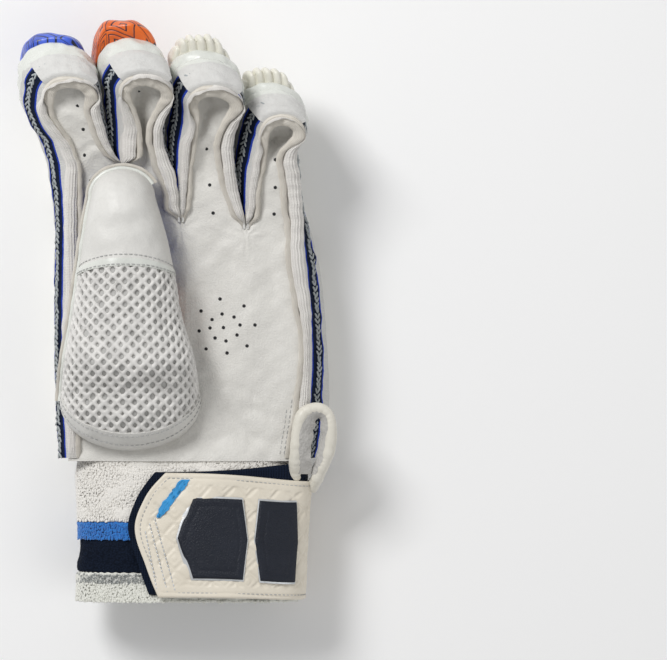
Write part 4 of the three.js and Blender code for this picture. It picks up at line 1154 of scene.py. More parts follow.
def tipRoll(finger, pleats):
    # Turns from under the fingertip up its front, then over the upper edge and in under the white
    # band; gathers are narrow grooves that run the same way
    columns, rows = 120, 56
    u, v = paramGrid(columns, rows)
    start = lerp(finger["root"][1], finger["end"][1], 0.7)
    boxy = (1 - np.abs(2 * spread(u) - 1) ** 3) ** (1 / 3)
    lobe = np.abs(np.sin(6.5 * np.pi * spread(u) + 0.5)) ** 0.6
    reach, wider = tipShape[finger["name"]]
    end = archY(finger) - 3 + (hand["archLength"] + 3 + reach * (1 - 0.1 * pleats * (1 - lobe))) * boxy

    def place(y, h):
        low = np.minimum(y, archY(finger))
        x = fingerX(finger, "back", lerp(0.5, u, 0.97), low)
        return curl(x - wider * (1 - spread(u)), y, h)

    depth = hand["rollDepth"] * (0.3 + 0.7 * boxy) * (1 - 0.1 * pleats * (1 - lobe))
    turn = np.minimum(v / 0.68, 1) * np.pi / 2
    over = np.maximum(0, v - 0.68) / 0.32 * np.pi / 2
    down = depth * np.maximum(0, np.cos(turn)) ** 0.7 * np.where(v == 0, 0.7, 1)
    y = lerp(start, end, np.sin(turn) ** 0.8) - 9.5 * boxy * (1 - np.cos(over))
    h = hand["rollDepth"] - 2.2 * (1 - np.minimum(v / 0.68, 1)) - 0.2 - np.maximum(0, down - 2.2)
    outside = place(y, h + 3.4 * np.sin(over))
    puff = 0.3 * ripple(outside, 12, 60 + finger["order"]) * np.sin(np.pi * v)
    puff = puff + pleats * (1.5 * lobe - 1.2) * smooth(v / 0.25) * smooth((1.02 - v) / 0.2)
    outside = outside - surfaceNormals(outside) * puff[..., None]
    inside = place(lerp(start, end - 10 * boxy, v), np.full_like(v, hand["rollDepth"]))
    arc = np.cumsum(np.linalg.norm(np.diff(outside, axis=0, prepend=outside[:1]), axis=-1), axis=0)
    wide = np.cumsum(np.linalg.norm(np.diff(outside, axis=1, prepend=outside[:, :1]), axis=-1), axis=1)
    return betweenPiece(f"{finger['name']}_cap", inside, outside, np.stack([wide, arc], axis=-1), 70)


tips = {"index": ("blue", 0), "middle": ("orange", 0), "ring": ("cream", 1), "little": ("cream", 1)}
tipShape = {"index": (5.0, 0), "middle": (9.0, 3.5), "ring": (8.0, 0.5), "little": (8.0, 0.5)}
rolls = {"mid": (1.335, 1.64), "base": (0.76, 1.315), "hand": (0.02, 0.744)}
padRun = {
    "frames": 20, "pressure": 6.0, "slack": 0.08, "cap": 2.2, "smoothing": 3,
    "quality": 6, "mass": 0.02, "stiffness": 12, "bending": 0.02,
}


def inflate(pieces):
    # Cloth run of the pads: their flat upper halves are held, the lower ones are blown up with
    # slack in the cloth; no point moves further than cap millimetres or under the floor
    counts = [len(piece.data.vertices) for piece in pieces]
    arrays, faces, start = [], [], 0
    for piece in pieces:
        place = np.empty(len(piece.data.vertices) * 3)
        piece.data.vertices.foreach_get("co", place)
        corners = np.empty(len(piece.data.loops), np.int32)
        piece.data.loops.foreach_get("vertex_index", corners)
        arrays.append(place.reshape(-1, 3))
        faces.append(corners.reshape(-1, 4) + start)
        start += len(arrays[-1])
    before = np.vstack(arrays)
    mesh = bpy.data.meshes.new("pads")
    mesh.from_pydata(before, [], np.vstack(faces))
    pads = bpy.data.objects.new("pads", mesh)
    bpy.context.scene.collection.objects.link(pads)
    ends = np.cumsum([0] + counts)
    held = np.concatenate([np.arange(a, a + n // 2) for a, n in zip(ends, counts)])
    pads.vertex_groups.new(name="seams").add(held.tolist(), 1.0, "REPLACE")
    cloth = pads.modifiers.new("cloth", "CLOTH").settings
    cloth.quality = padRun["quality"]
    cloth.mass = padRun["mass"]
    cloth.tension_stiffness = cloth.compression_stiffness = padRun["stiffness"]
    cloth.bending_stiffness = padRun["bending"]
    cloth.shrink_min = -padRun["slack"]
    cloth.use_pressure = True
    cloth.uniform_pressure_force = padRun["pressure"]
    cloth.vertex_group_mass = "seams"
    cloth.effector_weights.gravity = 0
    for step in range(1, padRun["frames"] + 1):
        bpy.context.scene.frame_set(step)
    done = pads.evaluated_get(bpy.context.evaluated_depsgraph_get())
    after = np.empty(len(before) * 3)
    done.data.vertices.foreach_get("co", after)
    moved = after.reshape(-1, 3) - before
    edges = np.empty(len(mesh.edges) * 2, np.int32)
    mesh.edges.foreach_get("vertices", edges)
    a, b = edges.reshape(-1, 2).T
    share = 1 / np.bincount(edges, minlength=len(before))[:, None]
    for _ in range(padRun["smoothing"]):  # the mean of a point's own move and its neighbours' mean
        beside = np.zeros_like(moved)
        np.add.at(beside, a, moved[b])
        np.add.at(beside, b, moved[a])
        moved = (moved + beside * share) / 2
    length = np.linalg.norm(moved, axis=1)
    print("cloth run moved points by", np.round(np.percentile(length, [50, 90, 100]) * 1000, 2), "mm")
    moved *= np.minimum(1, padRun["cap"] * 0.001 / np.maximum(length, 1e-9))[:, None]
    after = before + moved
    after[:, 2] = np.maximum(after[:, 2], 0)
    for piece, low, count in zip(pieces, ends, counts):
        piece.data.vertices.foreach_set("co", after[low:low + count].astype(np.float32).ravel())
        piece.data.update()
    bpy.data.objects.remove(pads)
    bpy.context.scene.frame_set(1)


pads = []
for finger in fingers:
    name = finger["name"]
    finish, pleats = tips[name]
    finishPiece(tipRoll(finger, pleats), finish, [f"{name}_tip_roll"])
    for part, (start, stop) in rolls.items():
        pads.append(finishPiece(rollPiece(f"{name}_{part}_pad", finger, start, stop), "cream",
                                [f"{name}_{part}_roll"]))
inflate(pads)
print("fingertips and rolls made")


# Back of the hand

def backPanel():
    points, quads, uvs, count = [], [], [], 0
    for finger in fingers:
        for part, rows in ((palmPoint, 60), (fingerPoint, 40)):
            u, v = paramGrid(18, rows)
            x, y = part(finger, "back", u, v)
            points.append(curl(x, y, np.full_like(x, hand["backTop"])).reshape(-1, 3))
            uvs.append(np.stack([y, x], axis=-1).reshape(-1, 2))
            quads.append(gridQuads(rows + 1, 19) + count)
            count += u.size
    points, quads, uvs = np.vstack(points), np.vstack(quads), np.vstack(uvs)
    _, first, joined = np.unique(np.round(points, 3), axis=0, return_index=True, return_inverse=True)
    quads = joined.reshape(-1)[quads]
    return points[first], quads, uvs[first]


panelPoints, panelQuads, panelUv = backPanel()
finishPiece(sheetPiece("back_of_hand", panelPoints, 2.0, panelUv, quads=panelQuads),
            "backCloth", ["back_panel"])


# Thumb

thumb = {
    "x": -24, "width": 60, "base": 102, "tip": 204, "bowl": 24, "crown": 13, "floor": 52, "height": 21,
    "seam": 0.64, "seamRise": 0.048, "hem": 0.062,
}
thumbEdges = {
    "along": [0, 0.2, 0.4, 0.6, 0.8, 1], "left": [-0.54, -0.5, -0.44, -0.39, -0.34, -0.28],
    "right": [0.6, 0.56, 0.46, 0.4, 0.33, 0.23],
}


def thumbEnds(u, grow=0.0):
    base = thumb["base"] - (thumb["bowl"] + grow) * np.sin(np.pi * u)
    return base, thumb["tip"] + (thumb["crown"] + grow) * np.sin(np.pi * u)


def thumbSpan(y, grow=0.0):
    along = clamp01((y - thumb["base"]) / (thumb["tip"] - thumb["base"]))
    return (thumb["x"] + thumb["width"] * column(thumbEdges, "left", along) - grow,
            thumb["x"] + thumb["width"] * column(thumbEdges, "right", along) + grow)


def thumbPlan(u, v, grow=0.0):
    y = lerp(*thumbEnds(u, grow), v)
    return lerp(*thumbSpan(y, grow), spread(u)), y


def thumbLow(x, y):
    seat = hand["palmTop"] + 0.6 + 3 * smooth((-36 - x) / 8)
    return lerp(seat, thumb["floor"], smooth((y - 104) / 20))


def thumbTop(u, v, grow=0.0):
    # Side height plus (height + 9 (1 - smooth(v / 0.5))) rise fall sin(pi u)^0.75
    x, y = thumbPlan(u, v)
    rise = np.minimum(1, swell(np.minimum(0, v / 0.3 - 1)))
    fall = swell(np.maximum(0, (v - 0.84) / 0.16))
    high = (thumb["height"] + 9 * (1 - smooth(v / 0.5))) * rise * fall
    z = thumbLow(x, y) + high * np.sin(np.pi * np.clip(u, 0, 1)) ** 0.75
    point = np.stack(np.broadcast_arrays(x, y, z), axis=-1)
    dents = 0.3 * ripple(point, 18, 21) + 0.1 * ripple(point, 6, 22)
    point[..., 2] += dents * np.sin(np.pi * u) ** 0.5 + grow
    return point


def seamAt(u):
    return thumb["seam"] + thumb["seamRise"] * (np.sin(np.pi * u) - 0.35)


def thumbSheet(name, start, stop, columns, rows, thickness, grow=0.0, ease=None):
    u, t = paramGrid(columns, rows)
    t = ease(t) if ease else t
    grid = thumbTop(u, lerp(start(u), stop(u), t))
    grid = grid + surfaceNormals(grid) * grow
    uv = np.stack([u * thumb["width"], lerp(start(u), stop(u), t) * 139], axis=-1)
    return sheetPiece(name, grid, thickness, uv)


finishPiece(thumbSheet("thumb_cap_leather", lambda u: seamAt(u) + 0.012, np.ones_like,
                       60, 56, 1.6, 0.6, lambda t: np.sin(t * np.pi / 2)),
            "thumb", ["thumb_leather"])
finishPiece(thumbSheet("thumb_seam_strip", lambda u: seamAt(u) - 0.014, lambda u: seamAt(u) + 0.013,
                       60, 6, 1.4, 1.1), "band", ["thumb_seam_tape"])
finishPiece(thumbSheet("thumb_hem_strip", np.zeros_like, lambda u: np.full_like(u, thumb["hem"]), 70,
                       10, 1.6, 1.05), "thumb", ["thumb_hem"])
finishPiece(thumbSheet("thumb_mesh_backing", lambda u: np.full_like(u, 0.05), seamAt,
                       60, 50, 0.8, -0.7), "backing", ["thumb_mesh"])

net = {"acrossPitch": 6.0, "alongPitch": 5.7, "hole": (1.55, 1.78), "rise": 0.95, "thickness": 0.45}


def thumbNet():
    # Cells in a centred lattice on the developed surface: s is the length across at a given y.
    # Each is a diamond with a round hole; its threads stand highest along the diamond's edges.
    ys = np.linspace(78, 200, 200)
    shares = spread(np.linspace(0, 1, 241))

    def onThumb(share, y):
        u = np.arccos(1 - 2 * np.clip(share, 0, 1)) / np.pi
        base, tip = thumbEnds(u)
        return thumbTop(u, clamp01((y - base) / (tip - base))), u

    surface, _ = onThumb(*np.meshgrid(shares, ys))
    left, right = thumbSpan(ys)
    surface[..., 0] = lerp(left[:, None], right[:, None], shares[None])
    surface[..., 1] = ys[:, None]
    steps = np.linalg.norm(np.diff(surface, axis=1), axis=-1)
    arc = np.concatenate([np.zeros((len(ys), 1)), np.cumsum(steps, axis=1)], axis=1)
    arc = arc - arc[:, [120]]

    def shareAt(s, y):
        row = np.clip((y - ys[0]) / (ys[1] - ys[0]), 0, len(ys) - 1.001)
        low = row.astype(int)
        step = 400.0
        line = (arc + np.arange(len(ys))[:, None] * step).ravel()
        grid = np.tile(shares, len(ys))

        def at(k):
            key = np.clip(s, arc[k, 0], arc[k, -1]) + k * step
            return np.interp(key, line, grid)

        return lerp(at(low), at(low + 1), row - low)

    columns = np.arange(-12, 13)
    rows = np.arange(0, 24)
    i, j = np.meshgrid(columns, rows)
    even = np.stack([i * net["acrossPitch"], 76 + j * net["alongPitch"]], axis=-1).reshape(-1, 2)
    odd = even + [net["acrossPitch"] / 2, net["alongPitch"] / 2]
    centre = np.vstack([even, odd])
    share = shareAt(centre[:, 0], centre[:, 1])
    _, u = onThumb(share, centre[:, 1])
    base, tip = thumbEnds(u)
    v = (centre[:, 1] - base) / (tip - base)
    row = np.clip(np.round((centre[:, 1] - ys[0]) / (ys[1] - ys[0])), 0, len(ys) - 1).astype(int)
    near = (centre[:, 0] > arc[row, 0] - 1.5) & (centre[:, 0] < arc[row, -1] + 1.5)
    centre = centre[near & (v > 0.03) & (v < seamAt(u) + 0.004)]

    side = np.linspace(0, 1, 3, endpoint=False)
    corners = np.array([[1, 0], [0, 1], [-1, 0], [0, -1]]) * [net["acrossPitch"] / 2, net["alongPitch"] / 2]
    rim = np.vstack([lerp(corners[k], corners[(k + 1) % 4], side[:, None]) for k in range(4)])
    angle = np.arctan2(rim[:, 1], rim[:, 0])
    hole = np.stack([net["hole"][0] * np.cos(angle), net["hole"][1] * np.sin(angle)], axis=-1)
    radial = np.array([0, 0.2, 0.55, 1.0])
    crest = np.array([0.0, 0.62, 0.95, 1.0])
    ring = lerp(hole[None], rim[None], radial[:, None, None])
    random = np.random.default_rng(8)
    jitter = 1 + 0.1 * random.normal(size=(len(centre), 1, 1, 1))
    ring = ring[None] * np.where(radial[None, :, None, None] < 1, jitter, 1)  # the rim stays in place
    place = centre[:, None, None] + ring
    knot = 1 - 0.12 * (np.arange(12) % 3 == 0)
    onRim = radial[None, :, None] == 1
    height = net["rise"] * crest[None, :, None] * np.where(onRim, knot[None, None], 1.0)
    height = np.broadcast_to(height, place.shape[:3])

    def lay(s, y):
        return onThumb(shareAt(s, y), y)[0]

    s, y = place[..., 0], place[..., 1]
    points = lay(s, y)
    across, ahead = lay(s + 0.4, y) - lay(s - 0.4, y), lay(s, y + 0.4) - lay(s, y - 0.4)
    points = points + unit(np.cross(across, ahead)) * (height - 0.55)[..., None]
    quads = gridQuads(4, 12, wrap=True)[None] + (np.arange(len(centre)) * 48)[:, None, None]
    points, quads = points.reshape(-1, 3), quads.reshape(-1, 4)
    _, first, joined = np.unique(np.round(points, 2), axis=0, return_index=True, return_inverse=True)
    return points[first], joined.reshape(-1)[quads]


netPoints, netQuads = thumbNet()
netQuads = netQuads[(np.diff(np.sort(netQuads, axis=1), axis=1) > 0).all(axis=1)]  # four corners each
finishPiece(sheetPiece("thumb_net", netPoints, net["thickness"], quads=netQuads, sharp=75),
            "mesh", ["thumb_mesh"])
print("thumb net made with", len(netQuads), "quads")


def thumbUnder(u, v, down):
    x, y = thumbPlan(u, lerp(0.27, 1, v))
    low = lerp(hand["palmTop"] + 1, thumb["floor"], smooth((y - 108) / 16))
    return np.stack(np.broadcast_arrays(x, y, low - 0.3 - down - 1.2 * np.sin(np.pi * u)), axis=-1)


u, v = paramGrid(40, 60)
finishPiece(betweenPiece("thumb_underside", thumbUnder(u, v, 0), thumbUnder(u, v, 1.5)), "lining",
            ["thumb_back"])


def thumbCord(name, grow, lift, radius):
    # A cord down the thumb's left edge and round its tip
    downV = np.linspace(0, 1, 90)
    roundU = np.linspace(0, 0.86, 50)[1:]
    x0, y0 = thumbPlan(np.zeros_like(downV), downV, grow)
    x1, y1 = thumbPlan(roundU, np.ones_like(roundU), grow)
    x, y = np.concatenate([x0, x1]), np.concatenate([y0, y1])
    z = thumbLow(x, y) + lift
    path = np.stack([x, y, z], axis=-1)
    size = radius * (1 + 0.06 * ripple(path, 7, 31))
    rings = tube(path, size[:, None])
    arc = arcLength(path)
    uv = np.stack(np.broadcast_arrays(arc[:, None], np.linspace(0, 6, 14)[None]), axis=-1)
    return loftPiece(name, rings, uv)


finishPiece(thumbCord("thumb_piping_upper", 0.9, 1.2, 1.15), "band", ["thumb_piping"])
finishPiece(thumbCord("thumb_piping_lower", 2.6, -0.6, 1.05), "tape", ["thumb_piping"])


def thumbGuard(name, start, stop, columns=50, rows=50):
    # Block between thumb and palm: flat above, swollen below by side end
    clearance, upper = 1.2, thumb["floor"] - 3.2
    u, v = paramGrid(columns, rows)
    x, y = thumbPlan(lerp(0.06, 0.8, u), lerp(start, stop, v))
    seat = lerp(hand["palmTop"] - 13.5, hand["palmTop"] + 3.4, smooth((-34 - x) / 8))
    rest = np.maximum(palmBase(x, y), seat) + clearance
    full = np.minimum(1, 1.2 * swell(2 * u - 1)) * np.minimum(1, 1.3 * swell(2 * v - 1))
    low = lerp(np.maximum(rest, upper - 4), rest, full)
    top = np.stack([x, y, np.full_like(x, upper)], axis=-1)
    away = unit(np.stack([x - x.mean(), y - y.mean()], axis=-1))
    wrapped = np.stack([x, y], axis=-1) + away * np.minimum(upper - low, 9)[..., None]
    return betweenPiece(name, top, np.stack([x, y, low], axis=-1), np.stack([x, y], axis=-1), 70, wrapped)


finishPiece(thumbGuard("thumb_block_tip", 0.58, 0.97), "blue", ["thumb_guard_tip"])
finishPiece(thumbGuard("thumb_block_base", 0.38, 0.575), "orange", ["thumb_guard_base"])


def thumbRow(place, lift=0.5):
    # A line on the thumb's top with its normals; place(t) gives u and v
    t = np.linspace(0, 1, 160)

    def at(u, v):
        return thumbTop(np.clip(u, 0.001, 0.999), np.clip(v, 0, 1))

    u, v = place(t)
    across = at(u + 0.004, v) - at(u - 0.004, v)
    ahead = at(u, v + 0.004) - at(u, v - 0.004)
    normals = unit(np.cross(across, ahead))
    return at(u, v) + normals * lift, normals


seamRows = [thumbRow(lambda t: (lerp(0.03, 0.97, t), seamAt(lerp(0.03, 0.97, t)) + 0.026), 0.72),
            thumbRow(lambda t: (lerp(0.03, 0.97, t), seamAt(lerp(0.03, 0.97, t)) - 0.008), 1.25)]
hemRows = [thumbRow(lambda t: (lerp(0.04, 0.97, t), np.full_like(t, 0.052)), 1.15),
           thumbRow(lambda t: (lerp(0.06, 0.97, t), np.full_like(t, 0.022)), 1.15)]
finishPiece(stitches("thumb_seam_stitches", seamRows, 2.5, 1.7), "greyThread",
            ["thumb_seam_tape"])
finishPiece(stitches("thumb_hem_stitches", hemRows, 2.6, 1.7), "greyThread", ["thumb_hem"])
print("thumb made")


# Cuff

cuffBands = {
    "terry": {"node": "cuff_terry", "y": (41.6, 73.4), "thick": 3.0, "rows": 34, "finish": "terry",
              "slot": "terry", "rough": 0.22},
    "blue": {"node": "cuff_blue_band", "y": (32.6, 41.7), "thick": 2.9, "rows": 12, "finish": "bandBlue",
             "slot": "blue_knit", "rough": 0.2},
    "navy": {"node": "cuff_navy_band", "y": (16.1, 32.7), "thick": 2.6, "rows": 18, "finish": "navyBand",
             "slot": "navy_knit", "rough": 0.08},
    "hem": {"node": "cuff_hem", "y": (1.5, 16.2), "thick": 3.0, "rows": 18, "finish": "hem",
            "slot": "grey_terry", "rough": 0.2},
}


def cuffBand(name, spec, around=420):
    # Outer ring rows with rounded ends, then the inner rows back, closed round the cuff
    low, high = spec["y"]
    t = np.linspace(0, 1, spec["rows"] + 1)
    turn = np.arange(around) / around
    ys = lerp(low, high, t)
    scallop = 0.25 * np.sin(turn * 2 * np.pi * 60)
    edge = (1 - np.abs(2 * t - 1) ** 6) ** 0.5
    grown = spec["thick"] * (0.72 + 0.28 * edge)
    if name == "terry":  # thinner towards the palm leather that lies on it
        grown = grown * lerp(1, 0.42, smooth((ys - 64) / 9))
    outer = cuffPoint(turn[None], (ys[:, None] + scallop[None] * (t[:, None] > 0.99)), grown[:, None])
    soft = 0.45 * ripple(outer, 16, 51) + spec["rough"] * ripple(outer, 1.9, 52)
    soft = soft + spec["rough"] * 0.6 * ripple(outer, 1.1, 53)
    outward = unit(outer - cuffPoint(turn[None], ys[:, None], grown[:, None] - 2))
    outer = outer + outward * (soft * edge[:, None])[..., None]
    inner = cuffPoint(turn[None], ys[::-1, None], np.zeros((len(ys), 1)))
    rings = np.concatenate([outer, inner, outer[:1]])
    rows = rings.shape[0]
    quads = gridQuads(rows, around, wrap=True)
    quads = np.where(quads >= (rows - 1) * around, quads - (rows - 1) * around, quads)
    return makePiece(f"{name}_cuff_band", rings[:-1], [quads], sharp=80)


for name, spec in cuffBands.items():
    finishPiece(cuffBand(name, spec), spec["finish"], [spec["node"]])
print("cuff made")


terryLoops = {  # piece: finish, slot, node, y range, height of the cloth under the loops
    "terry_loops": ("terry", "terry", "cuff_terry", (42.4, 72.5), 3.0),
    "blue_terry_loops": ("bandBlue", "blue_knit", "cuff_blue_band", (33.3, 41.2), 2.9),
    "heather_loops": ("greyHem", "grey_terry", "cuff_hem", (11.3, 15.7), 3.0),
    "hem_loops": ("hem", "grey_terry", "cuff_hem", (2.2, 10.7), 3.0),
}
loopSize = {"pitch": 1.15, "length": 1.8, "radius": 0.66, "height": 0.3}


def loops(name, span, out, seed):
    # A bead per loop in jittered rows round the cuff, each turned its own way
    random = np.random.default_rng(seed)
    rowY = np.arange(span[0], span[1], loopSize["pitch"])
    arc = np.arange(0, ovalArc[-1], loopSize["pitch"])
    s, y = np.meshgrid(arc, rowY)
    s = (s + random.uniform(-0.5, 0.5, s.shape)).ravel() % ovalArc[-1]
    y = (y + random.uniform(-0.45, 0.45, y.shape)).ravel()
    turn = np.interp(s, ovalArc, ovalTurns)
    share = clamp01((y - 3) / 63)
    shown = (turn < column(strapEnd, "turn", share) + 0.02) | (turn > 0.635) | (y > 67) | (y < 2.6)
    turn, y = turn[shown], y[shown]
    taper = lerp(1, 0.42, smooth((y - 64) / 9)) if name == "terry_loops" else 1
    place = cuffPoint(turn, y, out * taper)
    up = unit(place - cuffPoint(turn, y, out * taper - 2))
    first = unit(np.cross(up, [0.0, 1.0, 0.0]))
    second = np.cross(up, first)
    angle = random.uniform(0, np.pi, len(turn))[:, None]
    tip = up * random.uniform(-0.35, 0.35, (len(turn), 1))
    along = unit(first * np.cos(angle) + second * np.sin(angle) + tip)
    up = unit(up - along * np.einsum("ij,ij->i", up, along)[:, None])
    place = place + up * random.uniform(0.05, 0.25, (len(turn), 1))
    return joinBeads(name, [beads(place, along, up, loopSize["length"], loopSize["radius"],
                                  loopSize["height"])])


# Straps

strapSpec = {"last": 0.654, "out": 5.9, "thick": 2.1, "elasticOut": 4.0, "elasticThick": 1.5}


def strapY(turn, v, slack=0.0):
    # The strap narrows a little towards the far side, where its upper edge slants down
    past = smooth((turn - 0.22) / 0.24)
    low, high = lerp(4.2, 2.4, past), lerp(66.4, 61.8, past) + slack * lerp(0.2, 8.8, past)
    return lerp(low + slack * 1.2, high, v)


def flare(turn, y):
    # The strap stands off the cuff on the little finger's side, more at its upper edge
    beside = smooth((turn - 0.37) / 0.1) * (1 - smooth((turn - 0.56) / 0.08))
    return beside * lerp(-0.9, 4.2, clamp01(y / 63))


def strapGrid(shift, columns, rows, slack=0.0):
    # turn from the pointed end to the far end; s is the length round the oval
    u, v = paramGrid(columns, rows)
    turn = lerp(column(strapEnd, "turn", v) + shift, strapSpec["last"], u)
    return turn, strapY(turn, v, slack), np.interp(turn, ovalTurns, ovalArc), u, v


def latticeRelief(s, y):
    # Diamonds of 8.4 mm with grooves between them and a finer groove inside every other one
    a, b = (s + y) / 2**0.5 + 0.25 * np.sin(y * 0.4), (y - s) / 2**0.5 + 0.25 * np.sin(s * 0.35)
    cell = 8.4
    away = np.minimum(np.minimum(a % cell, cell - a % cell), np.minimum(b % cell, cell - b % cell))
    odd = (np.floor(a / cell) + np.floor(b / cell)) % 2
    inner = np.exp(-((away - 2.5) / 0.5) ** 2) * odd
    return smooth(away / 1.5) * (0.8 + 0.2 * smooth(away / 4)) - 0.5 * inner


def closureStrap():
    turn, y, s, u, v = strapGrid(0.004, 330, 130)
    endS = np.interp(column(strapEnd, "turn", v) + 0.004, ovalTurns, ovalArc)
    inFromEnd = (s - endS) * 0.86
    high = strapY(turn, 1.0) - strapY(turn, 0.0)
    border = np.minimum(np.minimum(v * high, (1 - v) * high), inFromEnd)
    inside = smooth((border - 5.2) / 1.0)
    rounded = swell(1 - np.minimum(1, border / 1.1)) ** 0.8
    lift = strapSpec["thick"] * (0.45 + 0.55 * rounded)
    lift = lift - 0.5 * inside + 0.62 * inside * latticeRelief(s, y)
    lift = lift - 0.22 * np.exp(-((border - 2.6) / 0.45) ** 2)
    sag = 0.35 * ripple(np.stack([s, y, np.zeros_like(s)], axis=-1), 30, 61)
    base = strapSpec["out"] + sag + flare(turn, y)
    outer, inner = cuffPoint(turn, y, base + lift), cuffPoint(turn, y, base)
    return betweenPiece("strap_body", outer, inner, np.stack([s, y], axis=-1), 60)


def elasticStrap():
    turn, y, s, u, v = strapGrid(-0.008, 200, 70, 1.0)
    border = np.minimum(v, 1 - v) * 63
    lift = strapSpec["elasticThick"] * (0.6 + 0.4 * smooth(border / 1.0))
    wave = 0.3 * ripple(np.stack([s, y, np.zeros_like(s)], axis=-1), 20, 62)
    base = strapSpec["elasticOut"] + wave * 0.4 + 0.9 * np.maximum(0, flare(turn, y))
    outer, inner = cuffPoint(turn, y, base + lift), cuffPoint(turn, y, base - 0.6)
    return betweenPiece("elastic_band", outer, inner, np.stack([y, s], axis=-1), 60)


finishPiece(elasticStrap(), "elastic", ["elastic_strap"])
finishPiece(closureStrap(), "strap", ["closure_strap"])


strapPanels = {
    "turns": {"left": (0.246, 0.318), "right": (0.33, 0.425)}, "y": (13, 53),
    "plateOut": 8.3, "plateThick": 1.0, "edgeOut": 8.05, "edgeThick": 0.5, "rim": 0.9,
    "round": 1.3, "grooveIn": 4.0, "grooveWidth": 0.6, "groove": 0.22,
}


def strapPanel(name, start, stop, out, thick, columns=90, rows=60, rim=0.0):
    # Raised plate with pointed ends, a rounded border and a groove exp(-(d/width)^2) inside it
    low, high = strapPanels["y"]
    u, v = paramGrid(columns, rows)
    point = 0.008 * np.abs(2 * v - 1)
    turn = lerp(start - rim * 0.0014 + point, stop + rim * 0.0014 - point, u)
    y = lerp(low - rim, high + rim, v) + 0.8 - 2.4 * smooth((turn - 0.25) / 0.16)
    s = np.interp(turn, ovalTurns, ovalArc)
    ends = np.interp(start + point, ovalTurns, ovalArc), np.interp(stop - point, ovalTurns, ovalArc)
    fromLines = (high - low + 2 * rim) * np.minimum(v, 1 - v)
    border = np.minimum(fromLines, np.minimum(s - ends[0], ends[1] - s) + rim)
    away = (border - strapPanels["grooveIn"]) / strapPanels["grooveWidth"]
    groove = strapPanels["groove"] * np.exp(-away ** 2)
    lift = thick * (0.25 + 0.75 * swell(1 - clamp01(border / strapPanels["round"])) - groove)
    base = out + flare(turn, y)
    outer, inner = cuffPoint(turn, y, base + lift), cuffPoint(turn, y, base)
    return betweenPiece(name, outer, inner, np.stack([s, y], axis=-1), 60)


for side, (start, stop) in strapPanels["turns"].items():
    node = [f"strap_panel_{side}"]
    finishPiece(strapPanel(f"{side}_panel_plate", start, stop, strapPanels["plateOut"],
                           strapPanels["plateThick"]), "panel", node)
    finishPiece(strapPanel(f"{side}_panel_edge", start, stop, strapPanels["edgeOut"],
                           strapPanels["edgeThick"], rim=strapPanels["rim"]), "silver",
                node)


def onStrap(x, y, out):
    # A line on the strap's palm side through points x, y, with its normals
    turn = cuffTurn(x, y, out)
    path = cuffPoint(turn, y, out)
    outward = unit(path - cuffPoint(turn, y, out - 2))
    return path, outward


def strapFlash():
    # A slanted brushed mark between two ragged lines
    t, v = paramGrid(12, 60)
    middle = column({"along": [0, 0.35, 1], "x": [-8.0, -3.5, 5.6]}, "x", v)
    half = column({"along": [0, 0.2, 0.7, 1], "x": [0.6, 2.3, 2.6, 2.2]}, "x", v)
    y = lerp(44, 63, v)
    ragged = 0.35 * ripple(np.stack([t * 0, y, t * 40], axis=-1), 3.0, 63)
    x = middle + half * (2 * t - 1) + ragged
    outer, outward = onStrap(x, y, 8.25)
    return betweenPiece("strap_mark", outer + outward * 0.2, outer - outward * 0.4)


finishPiece(strapFlash(), "flash", ["strap_flash"])

silverLines = [((-10, 44), (0.5, 7.5)), ((-12.5, 41.5), (-3.5, 7.5)), ((-14.5, 37.5), (-8.5, 7.5))]
share = np.linspace(0, 1, 60)
rows = [onStrap(lerp(a[0], b[0], share), lerp(a[1], b[1], share), 8.05) for a, b in silverLines]
finishPiece(stitches("strap_silver_stitches", rows, 2.0, 1.5, 0.35, 0.25), "silver",
            ["closure_strap"])


def strapBorder(inset):
    # Stitch line round the strap, inset from its edge
    v = np.linspace(1 - inset / 63, inset / 63, 90)
    endTurn = column(strapEnd, "turn", v) + 0.004 + 0.0034 * inset
    far = np.linspace(strapSpec["last"] - 0.01, 0, 300)
    top, bottom = far[far > endTurn[0]], far[far > endTurn[-1]][::-1]
    turn = np.concatenate([top, endTurn, bottom])
    y = np.concatenate([strapY(top, v[0]), strapY(endTurn, v), strapY(bottom, v[-1])])
    out = strapSpec["out"] + strapSpec["thick"] - 0.22 + flare(turn, y)
    path = cuffPoint(turn, y, out)
    return path, unit(path - cuffPoint(turn, y, out - 2))


finishPiece(stitches("strap_edge_stitches", [strapBorder(2.6)], 2.3, 1.5, 0.26, 0.2), "greyThread",
            ["closure_strap"])
for seed, (name, (finish, slot, node, span, out)) in enumerate(terryLoops.items()):
    finishPiece(loops(name, span, out, 80 + seed), finish, [node])
print("straps made")


# Wrist loop

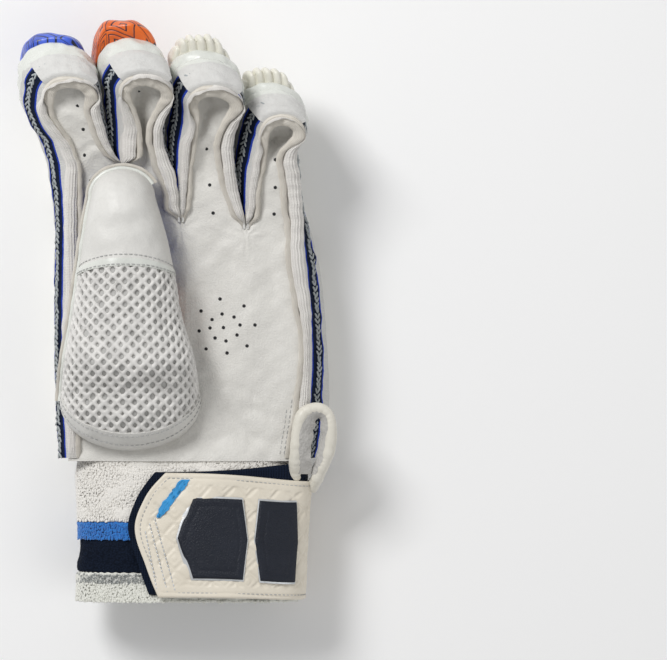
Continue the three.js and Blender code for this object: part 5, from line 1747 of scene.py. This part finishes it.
loopLine = {
    "along": [0, 1, 2, 3, 4, 5, 6, 7, 8, 9, 10],
    "x": [60, 60, 60.4, 61.2, 64, 70.5, 76.6, 78, 76.6, 72.5, 68],
    "y": [57, 66, 76, 87, 95.2, 98.4, 95.4, 86.5, 76, 66, 58],
    "z": [32, 38.6, 44.6, 46.4, 46.6, 46, 45.6, 45.2, 43.6, 38.6, 31],
}
loopTube = {"radius": 3.0, "around": 24, "steps": 220, "fill": 0.7}
along = np.linspace(0, 10, loopTube["steps"])
loopPath = np.stack([column(loopLine, k, along) for k in "xyz"], axis=-1)
loopArc = arcLength(loopPath)
angle = np.linspace(0, 2 * np.pi, loopTube["around"], endpoint=False)
innerSide = 0.5 + 0.5 * np.cos(angle)
gathers = np.abs(np.sin(loopArc * 0.9 + 1.3 * ripple(loopPath, 14, 71))) ** 0.5
pucker = 0.17 * (1 - gathers)[:, None] * innerSide * smooth(0.5 + 0.6 * ripple(loopPath, 22, 74))[:, None]
uneven = 1 + 0.05 * ripple(loopPath, 11, 72)[:, None] - pucker
loopRadius = loopTube["radius"] * uneven * (1 - 0.14 * np.abs(np.sin(angle)))
roundTube = np.linspace(0, 19, loopTube["around"])
loopUv = np.stack(np.broadcast_arrays(loopArc[:, None], roundTube[None]), axis=-1)
finishPiece(loftPiece("loop_tube", tube(loopPath, loopRadius, loopTube["around"]), loopUv), "loop",
            ["wrist_loop"])

u, v = paramGrid(90, 16)
liningAt = lerp(0.1, 0.92, u[0]) * 10
liningPath = np.stack([column(loopLine, k, liningAt) for k in "xyz"], axis=-1)
inward = unit(np.cross(np.gradient(liningPath, axis=0), np.array([0, 0, 1.0])))
wide = lerp(6.4, 3.0, smooth((u - 0.28) / 0.3)) * (1 + 0.06 * ripple(liningPath, 9, 73)[None])
lining = liningPath[None] + inward[None] * (1.2 + wide * v)[..., None]
lining[..., 2] += 1.2 - 3.0 * v**1.3 + 0.25 * ripple(lining, 6, 75) * v
finishPiece(sheetPiece("loop_suede", lining, 0.9), "suede", ["loop_lining"])
print("loop made")
